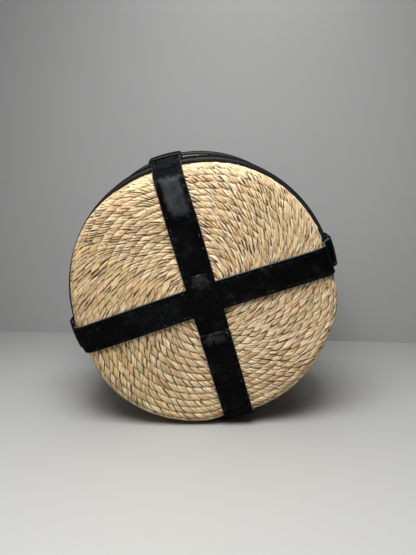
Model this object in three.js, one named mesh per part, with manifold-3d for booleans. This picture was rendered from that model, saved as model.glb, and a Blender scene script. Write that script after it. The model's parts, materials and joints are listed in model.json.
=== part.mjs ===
// Straw bucket bag with a leather harness, lying on its side with its base to the front.
// Millimetres, +Z up. The base faces -Y, the mouth opens towards +Y, and the table is the plane Z = 0.
import * as THREE from 'three';
import { mergeVertices } from 'three/addons/utils/BufferGeometryUtils.js';
import { ParametricGeometry } from 'three/addons/geometries/ParametricGeometry.js';
import Module from 'manifold-3d';

const wasm = await Module();
wasm.setup();

// Bucket of coiled straw rope
const floorRadius = 96;        // outer radius where the wall would meet the base without its rounded corner
const bagHeight = 155;         // from the base to the rim, along the bag's axis
const flareAngle = 6.5;        // how far the wall opens towards the mouth, in degrees
const ropeThickness = 5;       // one row of straw rope, so the wall and the base
const cornerRadius = 8;        // outer corner between base and wall

// The harness draws the base corner out of round: waves round it, each with its number of crests, its height
// and the angle of one crest from straight down towards +X
const cornerWaves = [
  { crests: 3, height: 0.9, at: -23.5 },
  { crests: 4, height: 1.05, at: 63.2 },
  { crests: 5, height: 0.3, at: 18.4 },
];

// Lining and rim
const liningThickness = 1;
const bindingThickness = 3;    // leather folded over the rim
const bindingDepth = 14;       // how far the binding reaches down the wall
const bindingInside = 12;      // and down the inside
const bindingFold = 1.2;       // its folds are rounded off by this much

// Straps and belt, cut from the same leather
const braceWidth = 22.5;
const slingWidth = 21.5;
const strapThickness = 2;
const beltWidth = 24;
const beltThickness = 3.4;
const beltStart = 28;          // height of the belt's lower edge above the base
const braceAngle = 16.2;       // the brace strap's lower end, from straight down towards +X, in degrees
const braceOffset = 1.2;       // the brace strap runs this far beside the bag's axis
const slingAngle = 107.4;      // the sling strap's right end, from straight down towards +X, in degrees
const crossingRamp = 8;        // length in which the patch comes down from the sling strap to the straw
const beltRampUp = 11;         // length in which a strap climbs to the belt
const beltRampDown = 24;       // and comes back down to the straw above it

// Plain patch over the crossing: it covers the upper brace strap's end and runs under the lower one's
const patchAbove = 18.7;       // from the middle of the crossing to the patch's upper end
const patchBelow = 31;         // and to its lower end
const patchShown = 25;         // where the lower brace strap begins on top of it
const patchThickness = 1.8;

// Keepers, leather loops over the straps whose ends go through slits in the belt
const keeperThickness = 1.2;
const keeperLength = 19;       // along the strap
const keeperSlack = 0.5;       // free space at each edge of the strap
const keeperBend = 0.5;        // inner radius of its corners

// Handle, two layers of leather on one rivet a side
const handleRise = 135;        // inner height above the rivets
const handleLeg = 30;          // straight part of each leg above its rivet
const handleEnd = 12;          // leather below the rivet
const handleWidth = 21.5;
const handleOuterThickness = 1.8;
const handleBackingThickness = 1.4;
const rimClearance = 0.6;      // between the handle and the rim binding as it swings past
const rivetBelowBinding = 12;  // from the binding's lower edge down to the rivet
const handleFloat = 0.2;       // the resting handle stops this far above the table

// Rivets and washers
const postRadius = 2;
const capRadius = 5.5;
const capHeight = 1.8;
const capOutline = [[1, 0], [1, 0.4], [0.75, 0.85], [0, 1]];  // shares of the cap's radius and height
const burrHeight = 1.4;
const burrTaper = 0.8;         // the burr's inner face is smaller than the burr by this share
const washerRadius = 6.5;

// Fits
const gap = 0.3;               // between pieces that touch
const sink = 1;                // how far the bag's own weight flattens belt and binding on the table
const pressMargin = 3;         // the dent over the lower keeper is this much wider than the keeper
const pressRun = 15;           // and fades out in this length round the wall
const pressFade = 35;          // and in this length along it
const turns = 56;              // facets round the bag
const rivetTurns = 16;         // and round a rivet
const archTurns = 20;          // and along the handle's arch
const fadeSteps = 4;           // rows of facets where a dent or a wave of the wall fades out
const acrossStrap = 4;         // facets across a strap
const softEdge = 0.35;         // a strap's or belt's edge is rounded off by this share of its thickness

const rad = THREE.MathUtils.degToRad;
const smooth = THREE.MathUtils.smoothstep;
const flare = rad(flareAngle);

// The bag's outer outline in its own axial section: q from the axis, s from the base.
// It is followed by u, the length along it from the middle of the base.
const cornerTurn = Math.PI / 2 - flare;
const cornerTangent = cornerRadius * Math.tan(cornerTurn / 2);
const cornerFrom = floorRadius - cornerTangent;
const cornerTo = cornerFrom + cornerRadius * cornerTurn;
const wallFrom = cornerTangent * Math.cos(flare);
const wallRadius = (s) => floorRadius + s * Math.tan(flare);
const alongWall = (s) => cornerTo + (s - wallFrom) / Math.cos(flare);

function outline(u, h) {
  // the point at length u along the outline, raised by h off the straw
  if (u <= cornerFrom) return [u, -h];
  if (u <= cornerTo) {
    const turn = (u - cornerFrom) / cornerRadius;
    const r = cornerRadius + h;
    return [cornerFrom + r * Math.sin(turn), cornerRadius - r * Math.cos(turn)];
  }
  const along = u - cornerTo;
  const q = wallRadius(wallFrom) + along * Math.sin(flare) + h * Math.cos(flare);
  const s = wallFrom + along * Math.cos(flare) - h * Math.sin(flare);
  return [q, s];
}

const cornerStations = (count = 6) =>
  Array.from({ length: count + 1 }, (_, i) => cornerFrom + (cornerTo - cornerFrom) * i / count);

// Heights off the straw of what lies on the belt
const beltTop = gap + beltThickness;
const strapOnBelt = beltTop + gap;
const strapOnStraw = gap;
const patchOnSling = gap + strapThickness + gap;
const braceOnPatch = gap + patchThickness + gap;
const beltFrom = alongWall(beltStart);
const beltTo = beltFrom + beltWidth;
const strapEnd = alongWall(bagHeight - bindingDepth - gap);
const rivetHeight = bagHeight - bindingDepth - rivetBelowBinding;

// How the bag rests: it leans until belt and binding both lie on the table
const restHeight = (floorRadius + beltTop / Math.cos(flare)) * Math.cos(flare) - sink;

// The straw gives under the lower keeper, so that the keeper doesn't lift the bag off its belt
const keeperHalf = braceWidth / 2 + keeperSlack + keeperThickness;
const keeperTop = strapOnBelt + strapThickness + gap + keeperThickness;
const beltRadius = wallRadius(beltStart + beltWidth / 2);
const keeperEdge = rad(braceAngle) - (keeperHalf - braceOffset) / beltRadius;
const tableAt = (angle) => (beltRadius + beltTop - sink) / Math.cos(angle) - beltRadius;
const pressDepth = Math.max(0, keeperTop - tableAt(keeperEdge));
const pressNear = keeperEdge - pressMargin / beltRadius;
const pressFar = rad(braceAngle) + (keeperHalf + pressMargin + braceOffset) / beltRadius;
const pressEdge = pressRun / beltRadius;

function settle(geometry) {
  // moves points given in the bag's own frame (x across, y down, z along the axis) to where the straps
  // and the table press them
  const p = geometry.attributes.position;
  for (let i = 0; i < p.count; i++) {
    const x = p.getX(i), y = p.getY(i), s = p.getZ(i);
    const q = Math.hypot(x, y);
    if (q < 1e-6) continue;
    const angle = Math.atan2(x, y);
    const edge = smooth(q, floorRadius / 2, floorRadius) * (1 - smooth(s, wallFrom, beltStart));
    const wave = cornerWaves.reduce((sum, w) => sum + w.height * Math.cos(w.crests * (angle - rad(w.at))), 0);
    const under = smooth(angle, pressNear - pressEdge, pressNear)
      * (1 - smooth(angle, pressFar, pressFar + pressEdge));
    const along = smooth(s, wallFrom / 2, beltStart)
      * (1 - smooth(s, beltStart + beltWidth, beltStart + beltWidth + pressFade));
    const outer = smooth(q, floorRadius / 2, floorRadius - 2 * ropeThickness);
    const moved = q + wave * edge - pressDepth * under * along * outer;
    p.setXY(i, x * moved / q, y * moved / q);
  }
  return geometry;
}

// Closed bodies and cuts
function bare(geometry) {
  const g = geometry.clone();
  for (const name of ['normal', 'uv']) g.deleteAttribute(name);
  return mergeVertices(g, 1e-4);
}

function solid(geometry) {
  const g = bare(geometry);
  const vertProperties = new Float32Array(g.attributes.position.array);
  const triVerts = new Uint32Array(g.index.array);
  const made = new wasm.Manifold(new wasm.Mesh({ numProp: 3, vertProperties, triVerts }));
  if (made.volume() > 0) return made;
  for (let i = 0; i < triVerts.length; i += 3) {
    [triVerts[i + 1], triVerts[i + 2]] = [triVerts[i + 2], triVerts[i + 1]];
  }
  return new wasm.Manifold(new wasm.Mesh({ numProp: 3, vertProperties, triVerts }));
}

function geometryOf(manifold) {
  const mesh = manifold.getMesh();
  const g = new THREE.BufferGeometry();
  const positions = new Float32Array(mesh.numVert * 3);
  for (let i = 0; i < mesh.numVert; i++) {
    for (let k = 0; k < 3; k++) positions[3 * i + k] = mesh.vertProperties[mesh.numProp * i + k];
  }
  g.setAttribute('position', new THREE.BufferAttribute(positions, 3));
  g.setIndex(new THREE.BufferAttribute(new Uint32Array(mesh.triVerts), 1));
  g.computeVertexNormals();
  return g;
}

const closed = (geometry) => geometryOf(solid(geometry));
const cut = (geometry, ...tools) =>
  geometryOf(tools.reduce((rest, tool) => rest.subtract(solid(tool)), solid(geometry)));
const common = (geometry, other) => geometryOf(solid(geometry).intersect(solid(other)));

// The bag's own frame: x across, y down at rest, z from the base to the mouth
const bag = new THREE.Group();
bag.rotation.x = flare - Math.PI / 2;
bag.position.z = restHeight;
bag.updateMatrixWorld(true);

const tableReach = 3 * bagHeight + 2 * floorRadius;
function onTable(geometry) {
  // shaves off what the table flattens
  const table = new THREE.BoxGeometry(tableReach, tableReach, bagHeight);
  table.translate(0, 0, -bagHeight / 2);
  table.applyMatrix4(bag.matrixWorld.clone().invert());
  return cut(geometry, table);
}

function revolved(points) {
  // a closed or axis-to-axis section in (q, s), turned round the bag's axis
  const g = new THREE.LatheGeometry(points.map(([q, s]) => new THREE.Vector2(q, s)), turns);
  return g.rotateX(Math.PI / 2).applyMatrix4(new THREE.Matrix4().makeScale(1, -1, 1));
}

const ring = (points) => revolved([...points, points[0]]);

// Straw bucket: base, corner and flared wall in one wound shell
const beltEnd = beltStart + beltWidth;
const fading = (from, to) =>
  Array.from({ length: fadeSteps }, (_, i) => from + (to - from) * (i + 1) / fadeSteps);
const wallStations = [...fading(wallFrom, beltStart), beltStart + beltWidth / 2, beltEnd];
wallStations.push(...fading(beltEnd, beltEnd + pressFade));
wallStations.push((wallStations.at(-1) + bagHeight) / 2, bagHeight);

function insideLine(depth, lowest) {
  // the same wall, depth further in, from the rim down to the base's inner corner
  const inner = depth / Math.cos(flare);
  const round = cornerRadius - ropeThickness;
  const points = wallStations.filter((s) => s > lowest + round + 1).reverse()
    .map((s) => [wallRadius(s) - inner, s]);
  const base = wallRadius(lowest) - inner;
  points.push([base + round * Math.tan(flare), lowest + round]);
  const middle = round * (1 - Math.SQRT1_2);
  points.push([base - middle, lowest + middle], [base - round, lowest]);
  return points;
}

function strawBody(holes) {
  const points = [[0, 0], [cornerFrom / 2, 0]];
  for (const u of cornerStations()) points.push(outline(u, 0));
  for (const s of wallStations) points.push([wallRadius(s), s]);
  points.push(...insideLine(ropeThickness, ropeThickness), [0, ropeThickness]);
  return cut(settle(revolved(points)), ...holes);
}

function lining(holes) {
  const top = bagHeight - gap;
  const outerDepth = ropeThickness + gap;
  const innerDepth = outerDepth + liningThickness;
  const floor = ropeThickness + gap;
  // drawn downwards like the straw's own inner face, so that both faces split into the same triangles
  const outer = insideLine(outerDepth, floor);
  const inner = insideLine(innerDepth, floor + liningThickness).reverse();
  outer[0] = [wallRadius(top) - outerDepth / Math.cos(flare), top];
  inner[inner.length - 1] = [wallRadius(top) - innerDepth / Math.cos(flare), top];
  return cut(settle(revolved([[0, floor + liningThickness], ...inner, ...outer, [0, floor]])), ...holes);
}

function rimBinding() {
  // folded leather: a leg outside the straw, a rounded top, and a leg inside the lining
  const out = (s, h) => wallRadius(s) + h / Math.cos(flare);
  const inside = ropeThickness + gap + liningThickness + gap;
  const foot = bagHeight - bindingDepth;
  const innerFoot = bagHeight - bindingInside;
  const top = bagHeight + gap;
  const soft = bindingFold;
  return onTable(ring([
    [out(foot, gap), foot],
    [out(foot, gap + bindingThickness), foot],
    [out(top, gap + bindingThickness), top],
    [out(top, gap + bindingThickness) - soft, top + bindingThickness - soft],
    [out(top, gap) - soft, top + bindingThickness],
    [out(top, -inside) + soft, top + bindingThickness],
    [out(top, -inside - bindingThickness) + soft, top + bindingThickness - soft],
    [out(top, -inside - bindingThickness), top],
    [out(innerFoot, -inside - bindingThickness), innerFoot],
    [out(innerFoot, -inside), innerFoot],
    [out(top, -inside), top],
    [out(top, gap), top],
  ]));
}

function baseBelt() {
  // a plain belt round the wall just above the base corner, with softened edges
  const soft = beltThickness * softEdge;
  const us = [beltFrom, beltFrom + soft, (beltFrom + beltTo) / 2, beltTo - soft, beltTo];
  const hs = [beltTop - soft, beltTop, beltTop, beltTop, beltTop - soft];
  const outer = us.map((u, i) => outline(u, hs[i])).reverse();
  const inner = [beltFrom, (beltFrom + beltTo) / 2, beltTo].map((u) => outline(u, gap));
  return onTable(settle(ring([...inner, ...outer])));
}

// Straps are drawn flat, u along the outline, h off the straw and t across, then laid on the bag
function lay(geometry, angle, offset = 0) {
  const sin = Math.sin(angle), cos = Math.cos(angle);
  const p = geometry.attributes.position;
  for (let i = 0; i < p.count; i++) {
    const t = p.getZ(i) + offset;
    const [q, s] = outline(Math.abs(p.getX(i)), p.getY(i));
    const side = Math.sign(p.getX(i)) || 1;
    const wrap = smooth(q, cornerFrom / 2, cornerFrom);
    const r = side * Math.sqrt(q * q - t * t * wrap);
    p.setXYZ(i, r * sin + t * cos, r * cos - t * sin, s);
  }
  return closed(settle(geometry));
}

const rise = (from, to, low, high) => (u) => [u, low + (high - low) * smooth(u, from, to)];
const steps = (from, to, count = 5) =>
  Array.from({ length: count + 1 }, (_, i) => from + (to - from) * i / count);
const ramp = (from, to, low, high) => steps(from, to).map(rise(from, to, low, high));

function band(keys, thickness, width) {
  // a flat leather band with softened edges, whose underside follows the keys [u, h]; it is drawn
  // slightly arched, so that its end faces stay whole once it is bent round the wall
  const stations = [...keys].sort((a, b) => a[0] - b[0]);
  const soft = thickness * softEdge;
  const half = width / 2;
  const arch = (t) => t * t / (2 * floorRadius);
  const point = (t, h) => new THREE.Vector2(t, h - arch(t));
  const face = (from, to, h) => steps(from, to, acrossStrap).map((t) => point(t, h));
  const section = new THREE.Shape([
    ...face(soft - half, half - soft, 0), point(half, soft), point(half, thickness - soft),
    ...face(half - soft, soft - half, thickness), point(-half, thickness - soft), point(-half, soft),
  ]);
  const last = stations.length - 1;
  const g = new THREE.ExtrudeGeometry(section, { depth: last, steps: last, bevelEnabled: false });
  const p = g.attributes.position;
  for (let i = 0; i < p.count; i++) {
    const t = p.getX(i);
    const [u, h] = stations[Math.round(p.getZ(i))];
    p.setXYZ(i, u, h + p.getY(i) + arch(t), t);
  }
  return g;
}

function overWall() {
  // the climb from the base corner over belt and keeper, and back down to the straw
  const upFrom = beltFrom - gap - beltRampUp;
  const upTo = beltFrom - gap;
  const downFrom = beltTo + gap;
  const downTo = downFrom + beltRampDown;
  const straw = [...cornerStations(), ...wallStations.map(alongWall)];
  const corner = straw.filter((u) => u < upFrom - 1);
  const climb = [...steps(upFrom, upTo), ...cornerStations().filter((u) => u > upFrom + 1)];
  const wall = straw.filter((u) => u > downTo + 1 && u < strapEnd - 1);
  return [
    ...corner.map((u) => [u, strapOnStraw]),
    ...climb.map(rise(upFrom, upTo, strapOnStraw, strapOnBelt)),
    ...ramp(downFrom, downTo, strapOnBelt, strapOnStraw),
    ...[...wall, strapEnd].map((u) => [u, strapOnStraw]),
  ];
}

function braceTop() {
  // it starts beside the sling strap, under the patch
  const start = slingWidth / 2 + 2 * gap;
  const keys = [[start, strapOnStraw], ...overWall()];
  return lay(band(keys, strapThickness, braceWidth), rad(braceAngle) + Math.PI, -braceOffset);
}

function braceBottom() {
  // it starts on the patch's lower end and comes down to the straw below it
  const from = patchBelow + gap;
  const keys = [[patchShown, braceOnPatch], ...ramp(from, from + crossingRamp, braceOnPatch, strapOnStraw)];
  return lay(band([...keys, ...overWall()], strapThickness, braceWidth), rad(braceAngle), braceOffset);
}

function slingStrap(holes) {
  const half = overWall();
  const keys = [...half, ...half.map(([u, h]) => [-u, h])];
  return cut(lay(band(keys, strapThickness, slingWidth), rad(slingAngle)), ...holes);
}

function centrePatch() {
  const from = slingWidth / 2 + gap;
  const down = ramp(from, from + crossingRamp, patchOnSling, strapOnStraw);
  const keys = [[-patchAbove, patchOnSling], ...down, [patchBelow, strapOnStraw]];
  return lay(band(keys, patchThickness, braceWidth), rad(braceAngle), braceOffset);
}

function keeper(width, angle, offset = 0) {
  // a leather loop that stands on the belt and runs close over the strap
  const half = width / 2 + keeperSlack - keeperBend;
  const foot = beltTop + gap;
  const high = strapOnBelt + strapThickness + gap - keeperBend;
  const turn = Math.PI / 4;
  // its line from foot to foot as [t, h, direction outwards]
  const line = [
    [half, foot, 0], [half, high, 0], [half, high, turn],
    ...steps(half, -half, 2 * acrossStrap).map((t) => [t, high, 2 * turn]),
    [-half, high, 3 * turn], [-half, high, 4 * turn], [-half, foot, 4 * turn],
  ];
  // and its section as [reach, u]
  const inner = keeperBend;
  const outer = keeperBend + keeperThickness;
  const start = (beltFrom + beltTo - keeperLength) / 2;
  const middle = start + keeperLength / 2;
  const end = start + keeperLength;
  const section = [
    [inner, start], [outer, start], [outer, middle], [outer, end], [inner, end], [inner, middle],
  ];
  const rows = [line[0], ...line, line.at(-1)];
  const last = rows.length - 1;
  const g = new ParametricGeometry((a, b, target) => {
    // the first and the last row shrink to a point, which closes the feet
    const row = Math.round(a * last);
    const corner = Math.round(b * section.length) % section.length;
    const [t, h, out] = rows[row];
    const [reach, u] = row === 0 || row === last ? [(inner + outer) / 2, middle] : section[corner];
    target.set(u, h + reach * Math.sin(out), t + reach * Math.cos(out));
  }, last, section.length);
  return lay(g, angle, offset);
}

// Handle, in a frame with x along the rivets' axis and z up from it towards the top of the arch
const rimOuter = wallRadius(bagHeight + gap) + (gap + bindingThickness) / Math.cos(flare);
const handleInner = rimOuter + rimClearance;

function arch(offset) {
  // the arch's line at this offset from its inner face, from one end round to the other
  const half = handleInner + offset;
  const top = handleRise - handleLeg + offset;
  const points = [new THREE.Vector2(half, -handleEnd)];
  for (let i = 0; i <= archTurns; i++) {
    const a = Math.PI * i / archTurns;
    points.push(new THREE.Vector2(half * Math.cos(a), handleLeg + top * Math.sin(a)));
  }
  points.push(new THREE.Vector2(-half, -handleEnd));
  return points;
}

function handleLayer(from, thickness) {
  const shape = new THREE.Shape([...arch(from), ...arch(from + thickness).reverse()]);
  const g = new THREE.ExtrudeGeometry(shape, { depth: handleWidth, steps: 1, bevelEnabled: false });
  g.translate(0, 0, -handleWidth / 2).rotateX(Math.PI / 2);
  // the plan of the band: straight sides and round ends
  const half = handleWidth / 2;
  const plan = new THREE.Shape();
  plan.absarc(0, half - handleEnd, half, Math.PI, 2 * Math.PI, false);
  plan.lineTo(half, 2 * handleRise);
  plan.lineTo(-half, 2 * handleRise);
  plan.closePath();
  const depth = 4 * handleInner;
  const prism = new THREE.ExtrudeGeometry(plan, { depth, bevelEnabled: false, curveSegments: 16 });
  prism.translate(0, 0, -depth / 2).rotateX(Math.PI / 2).rotateZ(Math.PI / 2);
  const bore = new THREE.CylinderGeometry(postRadius + gap, postRadius + gap, depth, rivetTurns);
  return cut(common(g, prism), bore.rotateZ(Math.PI / 2));
}

function handleLean() {
  // turns the handle about its rivets until its lowest point is just above the table
  const pivot = restHeight + rivetHeight * Math.sin(flare);
  const side = -Math.cos(rad(slingAngle)) * Math.cos(flare);
  const down = Math.sin(rad(slingAngle)) * Math.cos(flare);
  const outer = arch(handleOuterThickness + handleBackingThickness + gap);
  const lowest = (turn) => {
    const up = Math.cos(turn) * Math.sin(flare) - Math.sin(turn) * down;
    const across = Math.sin(turn) * Math.sin(flare) + Math.cos(turn) * down;
    return pivot - Math.abs(across) * handleWidth / 2
      + Math.min(...outer.map((p) => p.x * side + p.y * up));
  };
  let from = 0, to = Math.PI / 2;
  for (let i = 0; i < 40; i++) {
    const middle = (from + to) / 2;
    if (lowest(middle) > handleFloat) from = middle;
    else to = middle;
  }
  return from;
}

// Rivets, in the same frame, for the end on the +x side
const handleOuterFace = handleInner + handleBackingThickness + gap + handleOuterThickness;
const strawFace = wallRadius(rivetHeight);
const slingFace = strawFace + (gap + strapThickness) / Math.cos(flare);
const liningFace = strawFace - (ropeThickness + gap + liningThickness) / Math.cos(flare);
const tilt = (radius) => radius * Math.tan(flare);
const burrFace = liningFace - gap - tilt(capRadius);

const turned = (points) =>
  new THREE.LatheGeometry(points.map(([r, x]) => new THREE.Vector2(r, x)), rivetTurns).rotateZ(-Math.PI / 2);

function rivetPost() {
  const under = handleOuterFace + gap;
  const end = burrFace - burrHeight - gap;
  return closed(turned([
    [0, end], [postRadius, end], [postRadius, under],
    ...capOutline.map(([r, h]) => [capRadius * r, under + capHeight * h]),
  ]));
}

function rivetBurr() {
  const bore = postRadius + gap;
  return closed(turned([
    [bore, burrFace - burrHeight], [capRadius * burrTaper, burrFace - burrHeight],
    [capRadius, burrFace - burrHeight / 2], [capRadius, burrFace], [bore, burrFace],
    [bore, burrFace - burrHeight],
  ]));
}

function washer() {
  // leather washer between strap and handle: its back is cut to the slope of the wall
  const bore = postRadius + gap;
  const back = slingFace - tilt(washerRadius);
  const front = handleInner - gap;
  const g = turned([[bore, back], [washerRadius, back], [washerRadius, front], [bore, front], [bore, back]]);
  const depth = 4 * washerRadius;
  const slope = new THREE.BoxGeometry(depth, depth, depth).translate(-depth / 2, 0, 0).rotateY(flare);
  return cut(g, slope.translate(slingFace + gap, 0, 0));
}

// Materials
const leather = (roughness) => () =>
  new THREE.MeshStandardMaterial({ color: 0x0c0c0d, roughness, metalness: 0 });
const strapLeather = leather(0.38);
const trimLeather = leather(0.5);
const straw = () => new THREE.MeshStandardMaterial({ color: 0xdcbb8b, roughness: 0.75, metalness: 0 });
const cotton = () => new THREE.MeshStandardMaterial({ color: 0xcfc4ae, roughness: 0.9, metalness: 0 });
const metal = () => new THREE.MeshStandardMaterial({ color: 0x8c7448, roughness: 0.35, metalness: 1 });

function piece(parent, name, geometry, material) {
  const mesh = new THREE.Mesh(geometry, material());
  mesh.name = name;
  parent.add(mesh);
  return mesh;
}

// Assembly
const sides = [
  { name: 'right', turn: 0 },
  { name: 'left', turn: Math.PI },
];
const slingFrame = new THREE.Group();
slingFrame.position.z = rivetHeight;
slingFrame.rotation.z = Math.PI / 2 - rad(slingAngle);
slingFrame.updateMatrix();

const rivetHoles = sides.map(({ turn }) => {
  const g = new THREE.CylinderGeometry(postRadius + gap, postRadius + gap, floorRadius, rivetTurns);
  g.rotateZ(Math.PI / 2).translate(strawFace, 0, 0).rotateZ(turn);
  return g.applyMatrix4(slingFrame.matrix);
});

piece(bag, 'straw_body', strawBody(rivetHoles), straw);
piece(bag, 'lining', lining(rivetHoles), cotton);
piece(bag, 'rim_binding', rimBinding(), trimLeather);
piece(bag, 'base_belt', baseBelt(), trimLeather);
piece(bag, 'sling_strap', slingStrap(rivetHoles), strapLeather);
piece(bag, 'brace_strap_bottom', onTable(braceBottom()), strapLeather);
piece(bag, 'brace_strap_top', braceTop(), strapLeather);
piece(bag, 'centre_patch', centrePatch(), strapLeather);
piece(bag, 'keeper_bottom', onTable(keeper(braceWidth, rad(braceAngle), braceOffset)), trimLeather);
piece(bag, 'keeper_top', keeper(braceWidth, rad(braceAngle) + Math.PI, -braceOffset), trimLeather);
piece(bag, 'keeper_right', keeper(slingWidth, rad(slingAngle)), trimLeather);
piece(bag, 'keeper_left', keeper(slingWidth, rad(slingAngle) + Math.PI), trimLeather);

for (const { name, turn } of sides) {
  const side = new THREE.Group();
  side.rotation.z = turn;
  piece(side, `rivet_${name}`, rivetPost(), metal);
  piece(side, `rivet_burr_${name}`, rivetBurr(), metal);
  piece(side, `washer_${name}`, washer(), trimLeather);
  slingFrame.add(side);
}

const handle = new THREE.Group();
handle.rotation.x = -handleLean();
piece(handle, 'handle_backing', handleLayer(0, handleBackingThickness), strapLeather);
piece(handle, 'handle_outer', handleLayer(handleBackingThickness + gap, handleOuterThickness), strapLeather);
slingFrame.add(handle);
bag.add(slingFrame);

// The origin lies on the table, under the middle of the bag's box
const model = new THREE.Group();
model.name = 'straw_bucket_bag';
model.add(bag);
const box = new THREE.Box3().setFromObject(model, true);
const middle = box.getCenter(new THREE.Vector3());
bag.position.x -= middle.x;
bag.position.y -= middle.y;
model.updateMatrixWorld(true);

export default model;
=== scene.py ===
"""Straw bucket bag with a crossed leather harness, lying on its side with its base to the front.

Metres, +Z up. The base faces -Y, the mouth opens towards +Y, and the table is the plane Z = 0.
"""
import json
import math
from math import pi, radians

import bmesh
import bpy
import numpy as np
from mathutils import Matrix, Vector


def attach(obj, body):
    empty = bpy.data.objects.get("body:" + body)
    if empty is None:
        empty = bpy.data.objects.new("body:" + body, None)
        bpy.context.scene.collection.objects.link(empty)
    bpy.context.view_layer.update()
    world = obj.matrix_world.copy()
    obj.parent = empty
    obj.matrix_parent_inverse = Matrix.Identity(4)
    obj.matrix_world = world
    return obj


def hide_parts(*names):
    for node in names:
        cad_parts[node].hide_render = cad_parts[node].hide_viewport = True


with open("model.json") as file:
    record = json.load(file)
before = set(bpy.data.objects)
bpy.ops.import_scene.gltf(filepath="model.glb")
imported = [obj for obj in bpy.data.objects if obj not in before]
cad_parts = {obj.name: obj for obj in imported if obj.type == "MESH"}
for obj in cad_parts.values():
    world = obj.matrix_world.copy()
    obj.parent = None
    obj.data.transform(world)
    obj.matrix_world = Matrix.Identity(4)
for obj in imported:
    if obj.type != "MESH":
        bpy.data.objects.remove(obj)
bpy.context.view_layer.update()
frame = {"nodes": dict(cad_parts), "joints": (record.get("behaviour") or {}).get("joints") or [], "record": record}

bl_info = {
    "name": "Straw bucket bag",
    "version": (1, 0, 0),
    "blender": (4, 5, 0),
    "location": "View3D > Sidebar > Straw bag",
    "description": "Builds a bucket bag of coiled straw rope with a leather harness and handle",
    "category": "Add Mesh",
}

MM = 0.001

# Bucket, as in the solid model; belt and binding are pressed flat by the sink where they lie on the table
FLOOR_RADIUS = 96 * MM
BAG_HEIGHT = 155 * MM
FLARE = radians(6.5)
ROPE_THICKNESS = 5 * MM
CORNER_RADIUS = 8 * MM
GAP = 0.3 * MM
SINK = 1 * MM

# Lining and rim
LINING_THICKNESS = 1 * MM
BINDING_THICKNESS = 3 * MM
BINDING_DEPTH = 14 * MM
BINDING_INSIDE = 12 * MM

# Straps, belt, patch and keepers
BRACE_WIDTH = 22.5 * MM
SLING_WIDTH = 21.5 * MM
STRAP_THICKNESS = 2 * MM
BELT_WIDTH = 24 * MM
BELT_THICKNESS = 3.4 * MM
BELT_START = 28 * MM
BRACE_ANGLE = radians(16.2)
BRACE_OFFSET = 1.2 * MM
SLING_ANGLE = radians(107.4)
CROSSING_RAMP = 8 * MM
BELT_RAMP_UP = 11 * MM
BELT_RAMP_DOWN = 24 * MM
PATCH_ABOVE = 18.7 * MM
PATCH_BELOW = 31 * MM
PATCH_SHOWN = 25 * MM
PATCH_THICKNESS = 1.8 * MM
KEEPER_THICKNESS = 1.2 * MM
KEEPER_LENGTH = 19 * MM
KEEPER_SLACK = 0.5 * MM
KEEPER_BEND = 0.5 * MM
PRESS_MARGIN = 3 * MM
PRESS_RUN = 15 * MM
PRESS_FADE = 35 * MM

# Sewing of the leather: its grooves, its stitches, and how far edges are rounded and painted lighter as a
# highlight
GROOVE_DEPTH = 0.42 * MM
GROOVE_REACH = 0.42 * MM
STITCH_LENGTH = 2.5 * MM
STITCH_RADIUS = 0.33 * MM
STITCH_PITCH = 3.1 * MM
STITCH_INSET = 2.2 * MM
STITCH_SINK = 0.17 * MM
STITCH_LEAN = 0.05
RING_PITCH = 3 * MM
RING_STEPS = 300
BELT_STITCHES = 216
RIM_STITCHES = (232, 208)
RIM_PUCKERS = 216
EDGE_ROUND = 0.9 * MM
KEEPER_INSET = 1.9 * MM
STRAP_STEP = 1.6 * MM

# Waves round the base corner, which the harness draws out of round: crests, height in mm and the angle
# of a crest in degrees
CORNER_WAVES = ((3, 0.9, -23.5), (4, 1.05, 63.2), (5, 0.3, 18.4))

# Where the straps draw in the edge of the base or it bulges between them: angle and reach in degrees, way
# out and way back in mm
EDGE_PULLS = ((196, 14, -1.2, 3.2), (109, 8, -3.0, 1.0), (13, 6, -2.4, 0.6), (297, 6, -1.6, 0.6),
              (44, 14, 1.5, 0), (83, 9, 1.4, 0))
PULL_RUN = 34 * MM

# The dip across the top of the wall, into which the upper strap draws it together with the belt
DIP_ANGLE = radians(192)
DIP_DEPTH = 3 * MM
DIP_REACH = radians(24)
DIP_FADE = 48 * MM

# The upper keeper and the strap in it stand a little higher
KEEPER_TOP_LIFT = 1.3 * MM
HUMP_UP = 12 * MM
HUMP_DOWN = 14 * MM

# The sling's left arm runs a little lower than its right one
SLING_LEAN = 0.033
SLING_DROP = 3.3 * MM
SLING_STRAIGHT = 12 * MM

# Handle and rivets
HANDLE_RISE = 135 * MM
HANDLE_LEG = 30 * MM
HANDLE_END = 12 * MM
HANDLE_WIDTH = 21.5 * MM
HANDLE_OUTER = 1.8 * MM
HANDLE_BACKING = 1.4 * MM
HANDLE_LEAN = radians(54.338)
RIM_CLEARANCE = 0.6 * MM
RIVET_BELOW_BINDING = 12 * MM
POST_RADIUS = 2 * MM
POST_PAST_LINING = 1.4 * MM
CAP_RADIUS = 5.5 * MM
CAP_HEIGHT = 1.8 * MM
CAP_RIM = 0.3 * MM

# Outline of the straw in the bag's axial section
CORNER_TURN = pi / 2 - FLARE
CORNER_TANGENT = CORNER_RADIUS * math.tan(CORNER_TURN / 2)
CORNER_FROM = FLOOR_RADIUS - CORNER_TANGENT
CORNER_TO = CORNER_FROM + CORNER_RADIUS * CORNER_TURN
WALL_FROM = CORNER_TANGENT * math.cos(FLARE)


def wall_radius(s):
    return FLOOR_RADIUS + s * math.tan(FLARE)


def along_wall(s):
    return CORNER_TO + (s - WALL_FROM) / math.cos(FLARE)


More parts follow.
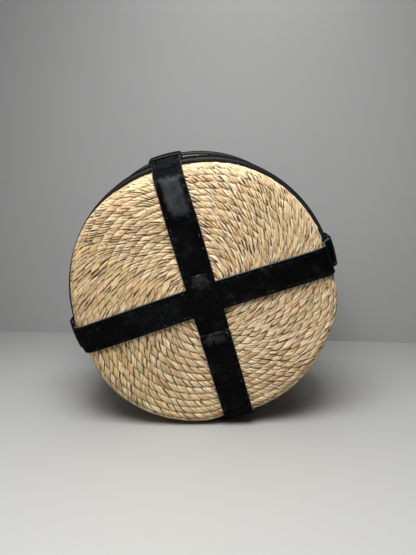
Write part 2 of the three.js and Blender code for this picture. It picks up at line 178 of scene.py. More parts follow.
# Heights off the straw
BELT_TOP = GAP + BELT_THICKNESS
STRAP_ON_STRAW = GAP
STRAP_ON_BELT = BELT_TOP + GAP
PATCH_ON_SLING = GAP + STRAP_THICKNESS + GAP
BRACE_ON_PATCH = GAP + PATCH_THICKNESS + GAP
BELT_FROM = along_wall(BELT_START)
BELT_TO = BELT_FROM + BELT_WIDTH
BELT_MIDDLE = (BELT_FROM + BELT_TO) / 2
STRAP_END = along_wall(BAG_HEIGHT - BINDING_DEPTH - GAP)
RIVET_HEIGHT = BAG_HEIGHT - BINDING_DEPTH - RIVET_BELOW_BINDING

# The dent over the lower keeper
KEEPER_HALF = BRACE_WIDTH / 2 + KEEPER_SLACK + KEEPER_THICKNESS
KEEPER_TOP = STRAP_ON_BELT + STRAP_THICKNESS + GAP + KEEPER_THICKNESS
BELT_RADIUS = wall_radius(BELT_START + BELT_WIDTH / 2)
KEEPER_EDGE = BRACE_ANGLE - (KEEPER_HALF - BRACE_OFFSET) / BELT_RADIUS
TABLE_AT_KEEPER = (BELT_RADIUS + BELT_TOP - SINK) / math.cos(KEEPER_EDGE) - BELT_RADIUS
PRESS_DEPTH = max(0, KEEPER_TOP - TABLE_AT_KEEPER)
PRESS_NEAR = KEEPER_EDGE - PRESS_MARGIN / BELT_RADIUS
PRESS_FAR = BRACE_ANGLE + (KEEPER_HALF + PRESS_MARGIN + BRACE_OFFSET) / BELT_RADIUS
PRESS_EDGE = PRESS_RUN / BELT_RADIUS

# The handle's arch and its length from end to end
ARCH_HALF = wall_radius(BAG_HEIGHT + GAP) + (GAP + BINDING_THICKNESS) / math.cos(FLARE) + RIM_CLEARANCE
ARCH_RISE = HANDLE_RISE - HANDLE_LEG
ARCH_TURN = np.linspace(0, pi, 400)
ARCH_STEPS = np.hypot(np.diff(ARCH_HALF * np.cos(ARCH_TURN)), np.diff(ARCH_RISE * np.sin(ARCH_TURN)))
ARCH_LENGTH = np.concatenate([[0], np.cumsum(ARCH_STEPS)])
LEG_LENGTH = HANDLE_LEG + HANDLE_END
HANDLE_LENGTH = 2 * LEG_LENGTH + ARCH_LENGTH[-1]

# Where the bag lies: its axis from the base's mount, its base from the handle's joint
AXIS = -Vector(next(m["axis"] for m in frame["record"]["mounts"] if m["name"] == "base_face"))
PIVOT = Vector(frame["joints"][0]["pos_m"])
BAG_PLACE = Matrix.Translation(PIVOT - AXIS * RIVET_HEIGHT) @ Matrix.Rotation(FLARE - pi / 2, 4, "X")
SLING_TURN = Matrix.Rotation(pi / 2 - SLING_ANGLE, 4, "Z")
SLING_PLACE = BAG_PLACE @ Matrix.Translation((0, 0, RIVET_HEIGHT)) @ SLING_TURN
HANDLE_PLACE = SLING_PLACE @ Matrix.Rotation(-HANDLE_LEAN, 4, "X")

# Rope of the bucket: shares of its strands, and a strand's outline from one crease to the next as
# places and heights
STRANDS = (0.37, 0.29, 0.34)
BASE_STRAND = ((0, 0.85), (0.07, 1.0), (0.24, 1.03), (0.43, 1.02), (0.5, 1.0), (0.57, 1.02), (0.76, 1.03),
               (0.93, 0.97))
WALL_STRAND = ((0, 0.85), (0.1, 1.01), (0.5, 1.03), (0.9, 0.97))
ROPE_HALF_WIDTH = 2.62 * MM
ROPE_HALF_HEIGHT = 2.42 * MM
ROPE_SQUARE = 3.4
SPIRAL_SHIFT = 2.5 * MM
LOOSE_TWIST = 31 * MM
TWIST_TIGHTENS = 12.5 * MM

# Rows of the base, where base and wall are parted into two pieces each, and the steps along their rope
BASE_ROWS = 20.6
BASE_SPLIT = 0.68
WALL_SPLIT = 0.52
PIECE_LAP = 0.02
BASE_STEP = 1.1 * MM
WALL_STEP = 1.7 * MM

# The stage: the line in which wall and table meet, the lamps as name, size, power, place and target, and
# the camera, with its focal length in pixels of the photo
WALL_LINE = (Vector((-0.3244, 0.2878, 0)), Vector((0.2975, 0.1846, 0)))
SKY_COLOUR = (0.80, 0.82, 0.86, 1)
SKY_STRENGTH = 0.02
LAMPS = (
    ("key", 0.24, 2.65, (-0.045, -0.33, 0.42), (0, -0.1, 0.08)),
    ("back", 0.3, 0.35, (0.08, 0.21, 0.55), (0, 0.05, 0.1)),
    ("top", 0.6, 1.75, (0, -0.05, 0.80), (0, 0, 0)),
    ("side", 0.5, 0.7, (-0.6, -0.7, 0.55), (0, 0, 0.08)),
)
CAMERA_PLACE = (-0.00835, -0.4223, 0.1363)
CAMERA_PITCH = radians(90 - 4.10)
CAMERA_YAW = radians(-1.41)
FOCAL_PIXELS = 443
PHOTO_HEIGHT = 555


# Shape of the bag


def smooth(x, low, high):
    """0 below low, 1 above high and an S between them."""
    t = np.clip((x - low) / (high - low), 0, 1)
    return t * t * (3 - 2 * t)


def ripple(x, seed=0.0):
    """A smooth uneven wave of about -1 to 1, some 6 units long."""
    second = 0.7 * np.sin(1.71 * x + 2.3 * seed + 1)
    return (np.sin(x + seed) + second + 0.5 * np.sin(2.93 * x + 4.1 * seed)) / 2.2


def bell(angle, at, reach):
    """1 at one angle round the bag, and less to both sides of it."""
    return np.exp(-(((angle - at + pi) % (2 * pi) - pi) / reach) ** 2)


def arc(x, z, across, up, degrees):
    """Points round x, z at the degrees, at a reach of across and up."""
    return [(x + across * math.cos(a), z + up * math.sin(a)) for a in map(radians, degrees)]


def outline(u, h):
    """The point at length u along the straw's outline, raised by h, as its radius and its height."""
    turn = np.clip((u - CORNER_FROM) / CORNER_RADIUS, 0, CORNER_TURN)
    along = np.maximum(u - CORNER_TO, 0)
    reach = CORNER_RADIUS + h
    q = np.minimum(u, CORNER_FROM) + reach * np.sin(turn) + along * math.sin(FLARE)
    s = CORNER_RADIUS - reach * np.cos(turn) + along * math.cos(FLARE)
    return q, s


def settle(x, y, s):
    """Moves points of the bag to where straps and table press them."""
    q = np.maximum(np.hypot(x, y), 1e-9)
    angle = np.arctan2(x, y)
    outside = smooth(q, FLOOR_RADIUS / 2, FLOOR_RADIUS)
    below_belt = 1 - smooth(s, WALL_FROM, BELT_START)
    wave = sum(height * MM * np.cos(crests * (angle - radians(at))) for crests, height, at in CORNER_WAVES)
    back = 0
    for at, reach, way_out, way_back in EDGE_PULLS:
        pull = bell(angle, radians(at), radians(reach))
        wave, back = wave + way_out * MM * pull, back + way_back * MM * pull
    back = back * np.clip((q - FLOOR_RADIUS + PULL_RUN) / PULL_RUN, 0, 1.1) ** 2 * below_belt
    dip = bell(angle, DIP_ANGLE, DIP_REACH) * outside * (1 - smooth(s, BELT_START, BELT_START + DIP_FADE))
    wave = wave * outside * below_belt - DIP_DEPTH * dip
    under = smooth(angle, PRESS_NEAR - PRESS_EDGE, PRESS_NEAR)
    under = under * (1 - smooth(angle, PRESS_FAR, PRESS_FAR + PRESS_EDGE))
    along = smooth(s, WALL_FROM / 2, BELT_START)
    along = along * (1 - smooth(s, BELT_START + BELT_WIDTH, BELT_START + BELT_WIDTH + PRESS_FADE))
    outer = smooth(q, FLOOR_RADIUS / 2, FLOOR_RADIUS - 2 * ROPE_THICKNESS)
    scale = (q + wave - PRESS_DEPTH * under * along * outer) / q
    return x * scale, y * scale, s + back


def lay(u, h, t, angle, offset=0.0):
    """Lays points of a flat strap, u along it, h off the straw and t across, over the bag."""
    t = t + offset
    q, s = outline(np.abs(u), h)
    wrap = smooth(q, CORNER_FROM / 2, CORNER_FROM)
    r = np.where(u < 0, -1, 1) * np.sqrt(np.maximum(q * q - t * t * wrap, 0))
    sin, cos = math.sin(angle), math.cos(angle)
    return settle(r * sin + t * cos, r * cos - t * sin, s)


def around(u, h, angle):
    """Lays points on the bag by their length u along its outline and their angle round it."""
    q, s = outline(u, h)
    return settle(q * np.sin(angle), q * np.cos(angle), s)


def over_belt(u):
    """Height off the straw of the underside of a strap that runs over belt and keeper."""
    u = np.abs(u)
    up = smooth(u, BELT_FROM - GAP - BELT_RAMP_UP, BELT_FROM - GAP)
    down = smooth(u, BELT_TO + GAP, BELT_TO + GAP + BELT_RAMP_DOWN)
    return STRAP_ON_STRAW + (STRAP_ON_BELT - STRAP_ON_STRAW) * (up - down)


def under_hump(u):
    """The same for the upper strap, whose keeper stands higher."""
    up = smooth(u, BELT_FROM - HUMP_UP, BELT_FROM)
    return over_belt(u) + KEEPER_TOP_LIFT * (up - smooth(u, BELT_TO, BELT_TO + HUMP_DOWN))


def off_patch(u):
    """The same for the lower strap, which starts on the patch."""
    ramp = PATCH_BELOW + GAP
    return over_belt(u) + (BRACE_ON_PATCH - STRAP_ON_STRAW) * (1 - smooth(u, ramp, ramp + CROSSING_RAMP))


def over_sling(u):
    """The same for the patch, which runs over the sling and down to the straw."""
    ramp = SLING_WIDTH / 2 + GAP
    return PATCH_ON_SLING + (STRAP_ON_STRAW - PATCH_ON_SLING) * smooth(u, ramp, ramp + CROSSING_RAMP)


def sling_sway(u):
    """How far the sling lies off its straight line at length u; it is back on it where it is riveted."""
    arm = np.maximum(-u, 0)
    home = along_wall(RIVET_HEIGHT) - SLING_STRAIGHT
    return -np.minimum(SLING_LEAN * arm, SLING_DROP) * (1 - smooth(arm, BELT_TO, home))


def handle_arch(v, h, t):
    """Lays points on the handle's arch, v along it from one end, h off its inner face and t across."""
    turn = np.interp(v - LEG_LENGTH, ARCH_LENGTH, ARCH_TURN)
    drop = np.minimum(0, np.minimum(v, HANDLE_LENGTH - v) - LEG_LENGTH)
    return (ARCH_HALF + h) * np.cos(turn), t, HANDLE_LEG + (ARCH_RISE + h) * np.sin(turn) + drop


# Meshes


def points_of(bm):
    return np.array([v.co[:] for v in bm.verts]).T


def move_to(bm, points):
    for vert, place in zip(bm.verts, np.stack(points, axis=1)):
        vert.co = place


def place_in(bm, matrix, on_table=False):
    """Brings a piece from its own frame to its place; what would be below the table is pressed flat on it."""
    bm.transform(matrix)
    if on_table:
        for vert in bm.verts:
            vert.co.z = max(vert.co.z, 0)
    bmesh.ops.recalc_face_normals(bm, faces=bm.faces)


def add(name, data):
    item = bpy.data.objects.new(name, data)
    bpy.context.scene.collection.objects.link(item)
    return item


def made(bm, name, materials):
    """Turns a bmesh into an object of that name."""
    mesh = bpy.data.meshes.new(name)
    bm.to_mesh(mesh)
    bm.free()
    for material in materials:
        mesh.materials.append(material)
    return add(name, mesh)


def deliver(bm, name, materials, body, nodes, sharp, attributes=None):
    """Turns a finished bmesh into a piece that rides on its body and stands for its nodes."""
    piece = made(bm, name, materials)
    mesh = piece.data
    for key, values in (attributes or {}).items():
        kind, field = ("FLOAT", "value") if values.ndim == 1 else ("FLOAT_VECTOR", "vector")
        layer = mesh.attributes.new(key, kind, "POINT")
        layer.data.foreach_set(field, values.astype(np.float32).ravel())
    mesh.shade_smooth()
    mesh.set_sharp_from_angle(angle=radians(sharp))
    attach(piece, body)
    if nodes:
        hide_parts(*nodes)
    return piece


def sewn(bm, rows, name, looks, attributes, place=BAG_PLACE, body="bag", on_table=False):
    """Joins a leather piece with its rows of stitches and delivers it; the attributes are the leather's."""
    whole = bmesh.new()
    count = len(bm.verts)
    for part in (bm, *rows):
        for face in part.faces:
            face.material_index = int(part is not bm)
        mesh = bpy.data.meshes.new("part")
        part.to_mesh(mesh)
        whole.from_mesh(mesh)
        bpy.data.meshes.remove(mesh)
    for part in (bm, *rows):
        part.free()
    place_in(whole, place, on_table)
    rest = np.zeros(len(whole.verts) - count)
    attributes = {key: np.concatenate([values, rest]) for key, values in attributes.items()}
    return deliver(whole, name, looks, body, [name], 45, attributes)


def repaint(node, material):
    """Gives a solid of the frame another material."""
    materials = frame["nodes"][node].data.materials
    materials.clear()
    materials.append(material)


def drawn(section, stations):
    """A closed section of (t, h) points drawn straight through the stations, with its ends closed.
    Returns a bmesh whose x is the station's length, y the height and z the way across."""
    bm = bmesh.new()
    ring = [bm.verts.new((0, h, t)) for t, h in section]
    edges = [bm.edges.new((a, b)) for a, b in zip(ring, ring[1:] + ring[:1])]
    steps = len(stations) - 1
    bmesh.ops.spin(bm, geom=ring + edges, cent=(0, 0, 0), axis=(1, 0, 0), dvec=(1, 0, 0), angle=0,
                   steps=steps)
    bmesh.ops.holes_fill(bm, edges=[e for e in bm.edges if e.is_boundary], sides=0)
    x, y, z = points_of(bm)
    move_to(bm, (np.interp(x, np.arange(steps + 1), stations), y, z))
    return bm


def turned(profile, steps):
    """A section of (radius, height) points turned once round the z axis."""
    bm = bmesh.new()
    line = [bm.verts.new((r, 0, z)) for r, z in profile]
    edges = [bm.edges.new(pair) for pair in zip(line, line[1:])]
    bmesh.ops.spin(bm, geom=line + edges, cent=(0, 0, 0), axis=(0, 0, 1), angle=2 * pi, steps=steps,
                   use_merge=True)
    bmesh.ops.remove_doubles(bm, verts=bm.verts, dist=0.01 * MM)
    return bm


def leather_section(width, thickness, groove=GROOVE_DEPTH, inset=STITCH_INSET):
    """A strap's section as (across, height): rounded edges, and a groove for each row of stitches."""
    half = width / 2
    top, bottom = 0.44 * thickness, 0.3 * thickness
    places = [share * half for share in (0, 0.22, 0.44, 0.62)]
    places += [half - inset + d * MM for d in (-1.5, -0.9, -0.5, -0.2, 0.2, 0.5, 0.85)]
    side = [(t, thickness - groove * math.exp(-(((t - half + inset) / GROOVE_REACH) ** 2)))
            for t in places if t < half - top]
    side += arc(half - top, thickness - top, top, top, (90, 65, 40, 18))
    side += arc(half - bottom, bottom, bottom, -bottom, (12, 45, 90))
    side += [(0.7 * half, 0), (0.35 * half, 0), (0, 0)]
    return side + [(-t, h) for t, h in reversed(side[1:-1])]


def stations_between(start, end, step):
    """Even stations with closer ones at both ends, where the leather is rounded off."""
    close = np.array([0, 0.25, 0.7, 1.4]) * MM
    count = max(2, round((end - start - 2 * close[-1]) / step))
    middle = np.linspace(start + close[-1], end - close[-1], count + 1)[1:-1]
    return np.concatenate([start + close, middle, end - close[::-1]])


def stitches(length, radius, sides, *repeats):
    """Rounded stitches along x: one, and then all there are again for each shift and number of steps."""
    bm = bmesh.new()
    lying = Matrix.Rotation(pi / 2, 4, "Y") @ Matrix.Diagonal((radius, radius, length / 2, 1))
    bmesh.ops.create_uvsphere(bm, u_segments=sides, v_segments=4, radius=1, matrix=lying)
    for shift, steps in repeats:
        bmesh.ops.spin(bm, geom=bm.verts[:] + bm.edges[:] + bm.faces[:], cent=(0, 0, 0), axis=(1, 0, 0),
                       dvec=(shift, 0, 0), angle=0, steps=steps, use_duplicate=True)
    return bm


def stitch_row(places, put, length=STITCH_LENGTH, radius=STITCH_RADIUS):
    """Stitches at places along x, each laid where put says; every other one leans the other way."""
    apart = 2 * length
    bm = stitches(length, radius, 6, (apart, len(places) - 1))
    x, y, z = points_of(bm)
    index = np.round(x / apart).astype(int)
    local = x - index * apart
    lean = STITCH_LEAN * np.where(index % 2, -1, 1)
    move_to(bm, put(places[index] + local, y, z + local * lean))
    return bm


def ring_row(count, put):
    """A row of stitches right round the bag, laid by their turn, their height and their way aside."""
    turn = 2 * pi / (count * RING_PITCH)
    return stitch_row(np.arange(count) * RING_PITCH, lambda x, y, z: put(x * turn, y, z))


# Materials


def math_node(operation, swapped=False):
    """An operator of Signal, which adds a Math node; a swapped one is its reflected form."""

    def operator(signal, other):
        values = (other, signal) if swapped else (signal, other)
        return signal.finish.node("ShaderNodeMath", {"operation": operation}, dict(enumerate(values)))

    return operator


class Signal:
    """One output of a node. Arithmetic on it adds Math nodes."""

    def __init__(self, finish, socket):
        self.finish, self.socket = finish, socket

    __add__ = __radd__ = math_node("ADD")
    __sub__ = math_node("SUBTRACT")
    __rsub__ = math_node("SUBTRACT", swapped=True)
    __mul__ = __rmul__ = math_node("MULTIPLY")


class Finish:
    """One procedural material."""

    def __init__(self, name):
        self.material = bpy.data.materials.new(name)
        self.material.use_nodes = True
        self.tree = self.material.node_tree
        self.tree.nodes.clear()

    def node(self, kind, settings=None, values=None, output=0):
        """Adds a node: settings first, then what goes into its sockets. Returns one output."""
        node = self.tree.nodes.new(kind)
        for key, value in (settings or {}).items():
            if key == "stops":
                ramp = node.color_ramp
                while len(ramp.elements) < len(value):
                    ramp.elements.new(1)
                for element, (position, colour) in zip(ramp.elements, value):
                    element.position, element.color = position, (*colour, 1)
            else:
                setattr(node, key, value)
        for key, value in (values or {}).items():
            if isinstance(key, int):
                socket = node.inputs[key]
            else:
                socket = next(s for s in node.inputs if s.name == key and s.enabled)
            if isinstance(value, Signal):
                self.tree.links.new(value.socket, socket)
            elif socket.type == "RGBA":
                socket.default_value = (*tuple(value)[:3], 1)
            else:
                socket.default_value = value
        shown = [s for s in node.outputs if s.enabled]
        if isinstance(output, str):
            return Signal(self, next(s for s in shown if s.name == output))
        return Signal(self, shown[output]) if shown else None

    def attribute(self, name, output="Vector"):
        return self.node("ShaderNodeAttribute", {"attribute_name": name}, output=output)

    def place(self):
        return self.node("ShaderNodeTexCoord", output="Object")

    def scaled(self, vector, scale, shift=(0, 0, 0)):
        """A vector that is shifted first and then scaled."""
        vector = self.node("ShaderNodeVectorMath", {"operation": "ADD"}, {0: vector, 1: shift})
        return self.node("ShaderNodeVectorMath", {"operation": "MULTIPLY"}, {0: vector, 1: scale})

    def part(self, vector, axis):
        return self.node("ShaderNodeSeparateXYZ", values={0: vector}, output=axis)

    def noise(self, vector, scale, detail=2.0, roughness=0.5):
        return self.node("ShaderNodeTexNoise", values={
            "Vector": vector, "Scale": scale, "Detail": detail, "Roughness": roughness})

    def spread(self, signal, low, high, to_low=0.0, to_high=1.0):
        """Stretches low..high to to_low..to_high and cuts off what is beyond."""
        return self.node("ShaderNodeMapRange", {"clamp": True}, {
            "Value": signal, "From Min": low, "From Max": high, "To Min": to_low, "To Max": to_high})

    def mix(self, share, first, second, blend="MIX"):
        return self.node("ShaderNodeMix", {"data_type": "RGBA", "blend_type": blend, "clamp_factor": True},
                         {"Factor": share, "A": first, "B": second}, output="Result")

    def bump(self, height, distance, strength):
        return self.node("ShaderNodeBump", values={
            "Strength": strength, "Distance": distance, "Height": height})

    def principled(self, **values):
        return self.node("ShaderNodeBsdfPrincipled",
                         values={key.replace("_", " "): value for key, value in values.items()})

    def end(self, shader):
        """Ends the material with a shader."""
        self.node("ShaderNodeOutputMaterial", values={"Surface": shader})
        return self.material


def straw_finish(look):
    """Dry straw: fibres that follow the twist, tints that change along the rows, and painted shade in the creases
    between strands, in thin splits and on the sides of the rows.
    """
    f = Finish("twisted_straw")
    strand, shape, leaf = (f.attribute(name) for name in ("strand", "shape", "leaf"))
    crest, row_gap_shade, tone = (f.part(shape, axis) for axis in "XYZ")
    broad, warm, green, grey = (
        f.noise(f.scaled(strand, (30, 0.5, 0.5), (shift, shift, 0)), 1.0, 1) for shift in (0, 3, 7, 11))
    ribbon = f.noise(f.scaled(strand, (30, 3.2, 3.2)), 1.0, 2, 0.6)
    split = f.noise(f.scaled(strand, (26, 2.6, 2.6), (5, 4, 2)), 1.0, 2, 0.5)
    fibre = f.noise(f.scaled(strand, (75, 9, 9)), 1.0, 4, 0.65)
    lightness = tone * 0.16 + broad * 0.50 + ribbon * 1.20 + fibre * 1.9
    colour = f.node("ShaderNodeValToRGB", {"stops": [
        (0.12, look.shade_colour), (0.38, look.tan_colour), (0.58, look.light_colour),
        (0.80, look.pale_colour)]}, {"Fac": lightness - 1.35})
    for signal, axis, tint in (
            (warm, "X", look.warm_colour), (green, "Y", look.green_colour), (grey, "Z", look.grey_colour)):
        share = f.spread(signal + f.part(leaf, axis) * 0.035, 0.56, 0.68, 0, 0.8)
        colour = f.mix(share, colour, f.mix(1.0, colour, tint, "MULTIPLY"))
    # painted shade in the creases, which open and close from place to place, across the rows
    open_here = f.noise(f.place(), 130, 3, 0.6)
    crease = f.spread(crest - (open_here - 0.455) * 0.80, 0.07, 0.14, 1, 0)
    # painted shade in thin splits between the fibres
    off_split = f.node("ShaderNodeMath", {"operation": "ABSOLUTE"}, {0: split - 0.5})
    split_shade = f.spread(off_split, 0.003, 0.018, 0.8, 0)
    # the painted shade of creases, row sides and splits together, mixed towards the crease shade colour
    dark = 1 - (1 - crease) * (1 - f.spread(row_gap_shade, 0.3, 1.0)) * (1 - split_shade)
    return f.end(f.principled(
        Base_Color=f.mix(dark * 0.97, colour, look.crease_shade_colour),
        Roughness=f.spread(fibre, 0.3, 0.7, 0.60, 0.42), Specular_IOR_Level=0.5,
        Normal=f.bump(fibre * 0.5 + ribbon * 0.8 - split_shade * 0.3, 0.6 * MM, 1.0)))


def thread_finish(name, colour, shade, fleck_and_glint, roughness, gloss):
    """Twisted sewing thread with a few pale flecks, partly dust and partly painted glints."""
    f = Finish(name)
    place = f.place()
    twist = f.noise(place, 1800, 2)
    # pale flecks: dust, and painted glints where a stitch would catch the light
    rub_and_shine = f.spread(f.noise(place, 420, 2), 0.55, 0.66)
    return f.end(f.principled(
        Base_Color=f.mix(rub_and_shine, f.mix(f.spread(twist, 0.35, 0.65), shade, colour), fleck_and_glint),
        Roughness=f.spread(twist, 0.3, 0.7, roughness - 0.1, roughness + 0.1), Specular_IOR_Level=gloss,
        Normal=f.bump(twist, 0.15 * MM, 0.6)))


def leather_finish(name, look, roughness, sheen, rim):
    """Black leather: fine grain and dull scuffs, painted highlights on its edges and a mottled grey painted sheen
    where the piece is marked for it.
    """
    f = Finish(name)
    place = f.place()
    edge, polish = f.attribute("edge", "Fac"), f.attribute("polish", "Fac")
    pores = f.node("ShaderNodeTexVoronoi", {"feature": "SMOOTH_F1"},
                   {"Vector": place, "Scale": 1 / look.grain_size})
    grain = f.noise(place, 0.45 / look.grain_size, 4, 0.6)
    cloud = f.noise(place, 42, 3, 0.55)
    scuff = f.noise(f.scaled(place, (1, 1.4, 0.8)), 160, 5, 0.7)
    worn = f.spread(scuff * 0.6 + cloud * 0.4, 0.52, 0.66)
    # painted sheen: a mottled grey over the places marked for it, with a little more coat there
    rub_and_shine = f.noise(f.scaled(place, (1, 1, 1), (0.3, 0.1, 0.2)), 150, 5, 0.7)
    painted_sheen = f.spread(polish + (rub_and_shine - 0.5) * 2.2, 0.25, 1.25)
    colour = f.mix(f.spread(cloud, 0.35, 0.7), look.deep_colour, look.leather_colour)
    colour = f.mix(worn * sheen, colour, look.scuff_colour)
    # painted highlight: the rounded edges are painted lighter, as strongly as rim says
    colour = f.mix(f.spread(edge, 0.45, 0.9, 0, rim), colour, look.painted_sheen_colour)
    return f.end(f.principled(
        Base_Color=f.mix(painted_sheen * 0.55, colour, look.painted_sheen_colour),
        Roughness=f.spread(grain, 0.3, 0.7, 0.6, 0.9), Specular_IOR_Level=0, Coat_Roughness=roughness,
        Coat_Weight=painted_sheen * 0.3 + edge * 0.4 + worn * (0.06 * sheen) + 0.06,
        Normal=f.bump(pores * 0.5 + grain * 0.5, 0.16 * MM, 0.7)))


def cloth_finish(look):
    """Plain woven cotton."""
    f = Finish("lining_cotton")
    weave = f.attribute("weave")
    warp, weft = (
        f.node("ShaderNodeTexWave", {"bands_direction": axis, "wave_profile": "SIN"},
               {"Vector": weave, "Scale": 1 / look.weave_size / 2, "Distortion": 1.5, "Detail": 1})
        for axis in "XY")
    height = warp * weft
    tone = f.spread(height * 0.4 + f.noise(weave, 130, 4, 0.6) * 0.6, 0.2, 0.7)
    colour = f.mix(tone, look.cotton_shade, look.cotton_colour)
    cloud = f.spread(f.noise(f.place(), 18, 2), 0.45, 0.8, 0, 0.3)
    return f.end(f.principled(
        Base_Color=f.mix(cloud, colour, look.cotton_shade), Roughness=0.9, Sheen_Weight=0.2,
        Normal=f.bump(height, 0.2 * MM, 0.6)))


def metal_finish(look):
    """Aged brass, brushed by use and darker in its hollows."""
    f = Finish("aged_brass")
    place = f.place()
    tarnish = f.noise(place, 240, 4, 0.6)
    scratch = f.noise(f.scaled(place, (1, 6, 1)), 900, 2)
    return f.end(f.principled(
        Base_Color=f.mix(f.spread(tarnish, 0.45, 0.7), look.brass_colour, look.tarnish_colour),
        Roughness=f.spread(tarnish, 0.35, 0.75, 0.24, 0.5) + f.spread(scratch, 0.4, 0.6, -0.03, 0.05),
        Metallic=1.0, Normal=f.bump(scratch, 0.03 * MM, 0.4)))


def stage_finish(name, colour, roughness, one_sided=False):
    """A plain matt surface. A one-sided one doesn't show from behind."""
    f = Finish(name)
    cloud = f.spread(f.noise(f.place(), 3.0, 3, 0.6), 0.3, 0.7, 0, 0.25)
    tone = f.mix(cloud, colour, tuple(0.9 * c for c in colour))
    shader = f.principled(Base_Color=tone, Roughness=roughness, Specular_IOR_Level=0.2)
    if one_sided:
        clear = f.node("ShaderNodeBsdfTransparent")
        back = f.node("ShaderNodeNewGeometry", output="Backfacing")
        shader = f.node("ShaderNodeMixShader", values={0: back, 1: shader, 2: clear})
    return f.end(shader)


# Rope


class Coil:
    """The spiral that the straw rope is wound in: its turn, its length and its twist, by one another."""

    def __init__(self, pitch):
        self.pitch = pitch
        last = along_wall(BAG_HEIGHT) - 0.6 * pitch
        self.turn = np.linspace(0, 2 * pi * last / pitch, 60000)
        u = self.row(self.turn)
        radius = outline(u, -ROPE_THICKNESS / 2)[0]
        pace = np.hypot(radius, pitch / 2 / pi)
        self.length = np.concatenate([[0], np.cumsum((pace[1:] + pace[:-1]) / 2 * np.diff(self.turn))])
        # each turn holds such a number of creases that they run on from row to row
        knots = np.arange(0, self.turn[-1] + 2 * pi, 2 * pi)
        lay_length = LOOSE_TWIST - TWIST_TIGHTENS * smooth(self.row(knots[:-1] + pi), 15 * MM, 62 * MM)
        wanted = 2 * pi * np.diff(np.interp(knots, self.turn, self.length)) / lay_length
        step = 2 * pi / len(STRANDS)
        per_turn = pi + step * np.maximum(np.round((wanted - pi) / step), 0)
        even = np.interp(self.turn, knots, np.concatenate([[0], np.cumsum(per_turn)]))
        uneven = 1.6 * ripple(2 * np.sin(self.turn) + 3 * np.cos(2 * self.turn))
        self.twist = even + uneven * smooth(u, 30 * MM, 85 * MM)

    def row(self, turn):
        return turn * self.pitch / 2 / pi

    def turn_at(self, length):
        return np.interp(length, self.length, self.turn)

    def length_at(self, u):
        return np.interp(2 * pi * u / self.pitch, self.turn, self.length)

    def wound(self, length, a, b):
        """Winds points of a straight rope: a towards the next row, b outwards."""
        turn = self.turn_at(length)
        u = self.row(turn)
        sway = 0.42 * MM * np.sin(3 * turn + u / (30 * MM)) + 0.3 * MM * np.sin(5 * turn - u / (17 * MM) + 1)
        u = u + a + sway * smooth(u, 4 * MM, 20 * MM)
        q, s = outline(u, b - ROPE_THICKNESS / 2)
        shift = SPIRAL_SHIFT * (1 - smooth(q, 8 * MM, 88 * MM))
        return settle(q * np.sin(turn) + shift, q * np.cos(turn) - shift, s)


def scatter(*numbers):
    """The same random number from 0 to 1 for the same whole numbers."""
    mixed = sum(n * k for n, k in zip(numbers, (12.9898, 78.233, 37.719)))
    value = np.sin(mixed) * 43758.5453
    return value - np.floor(value)


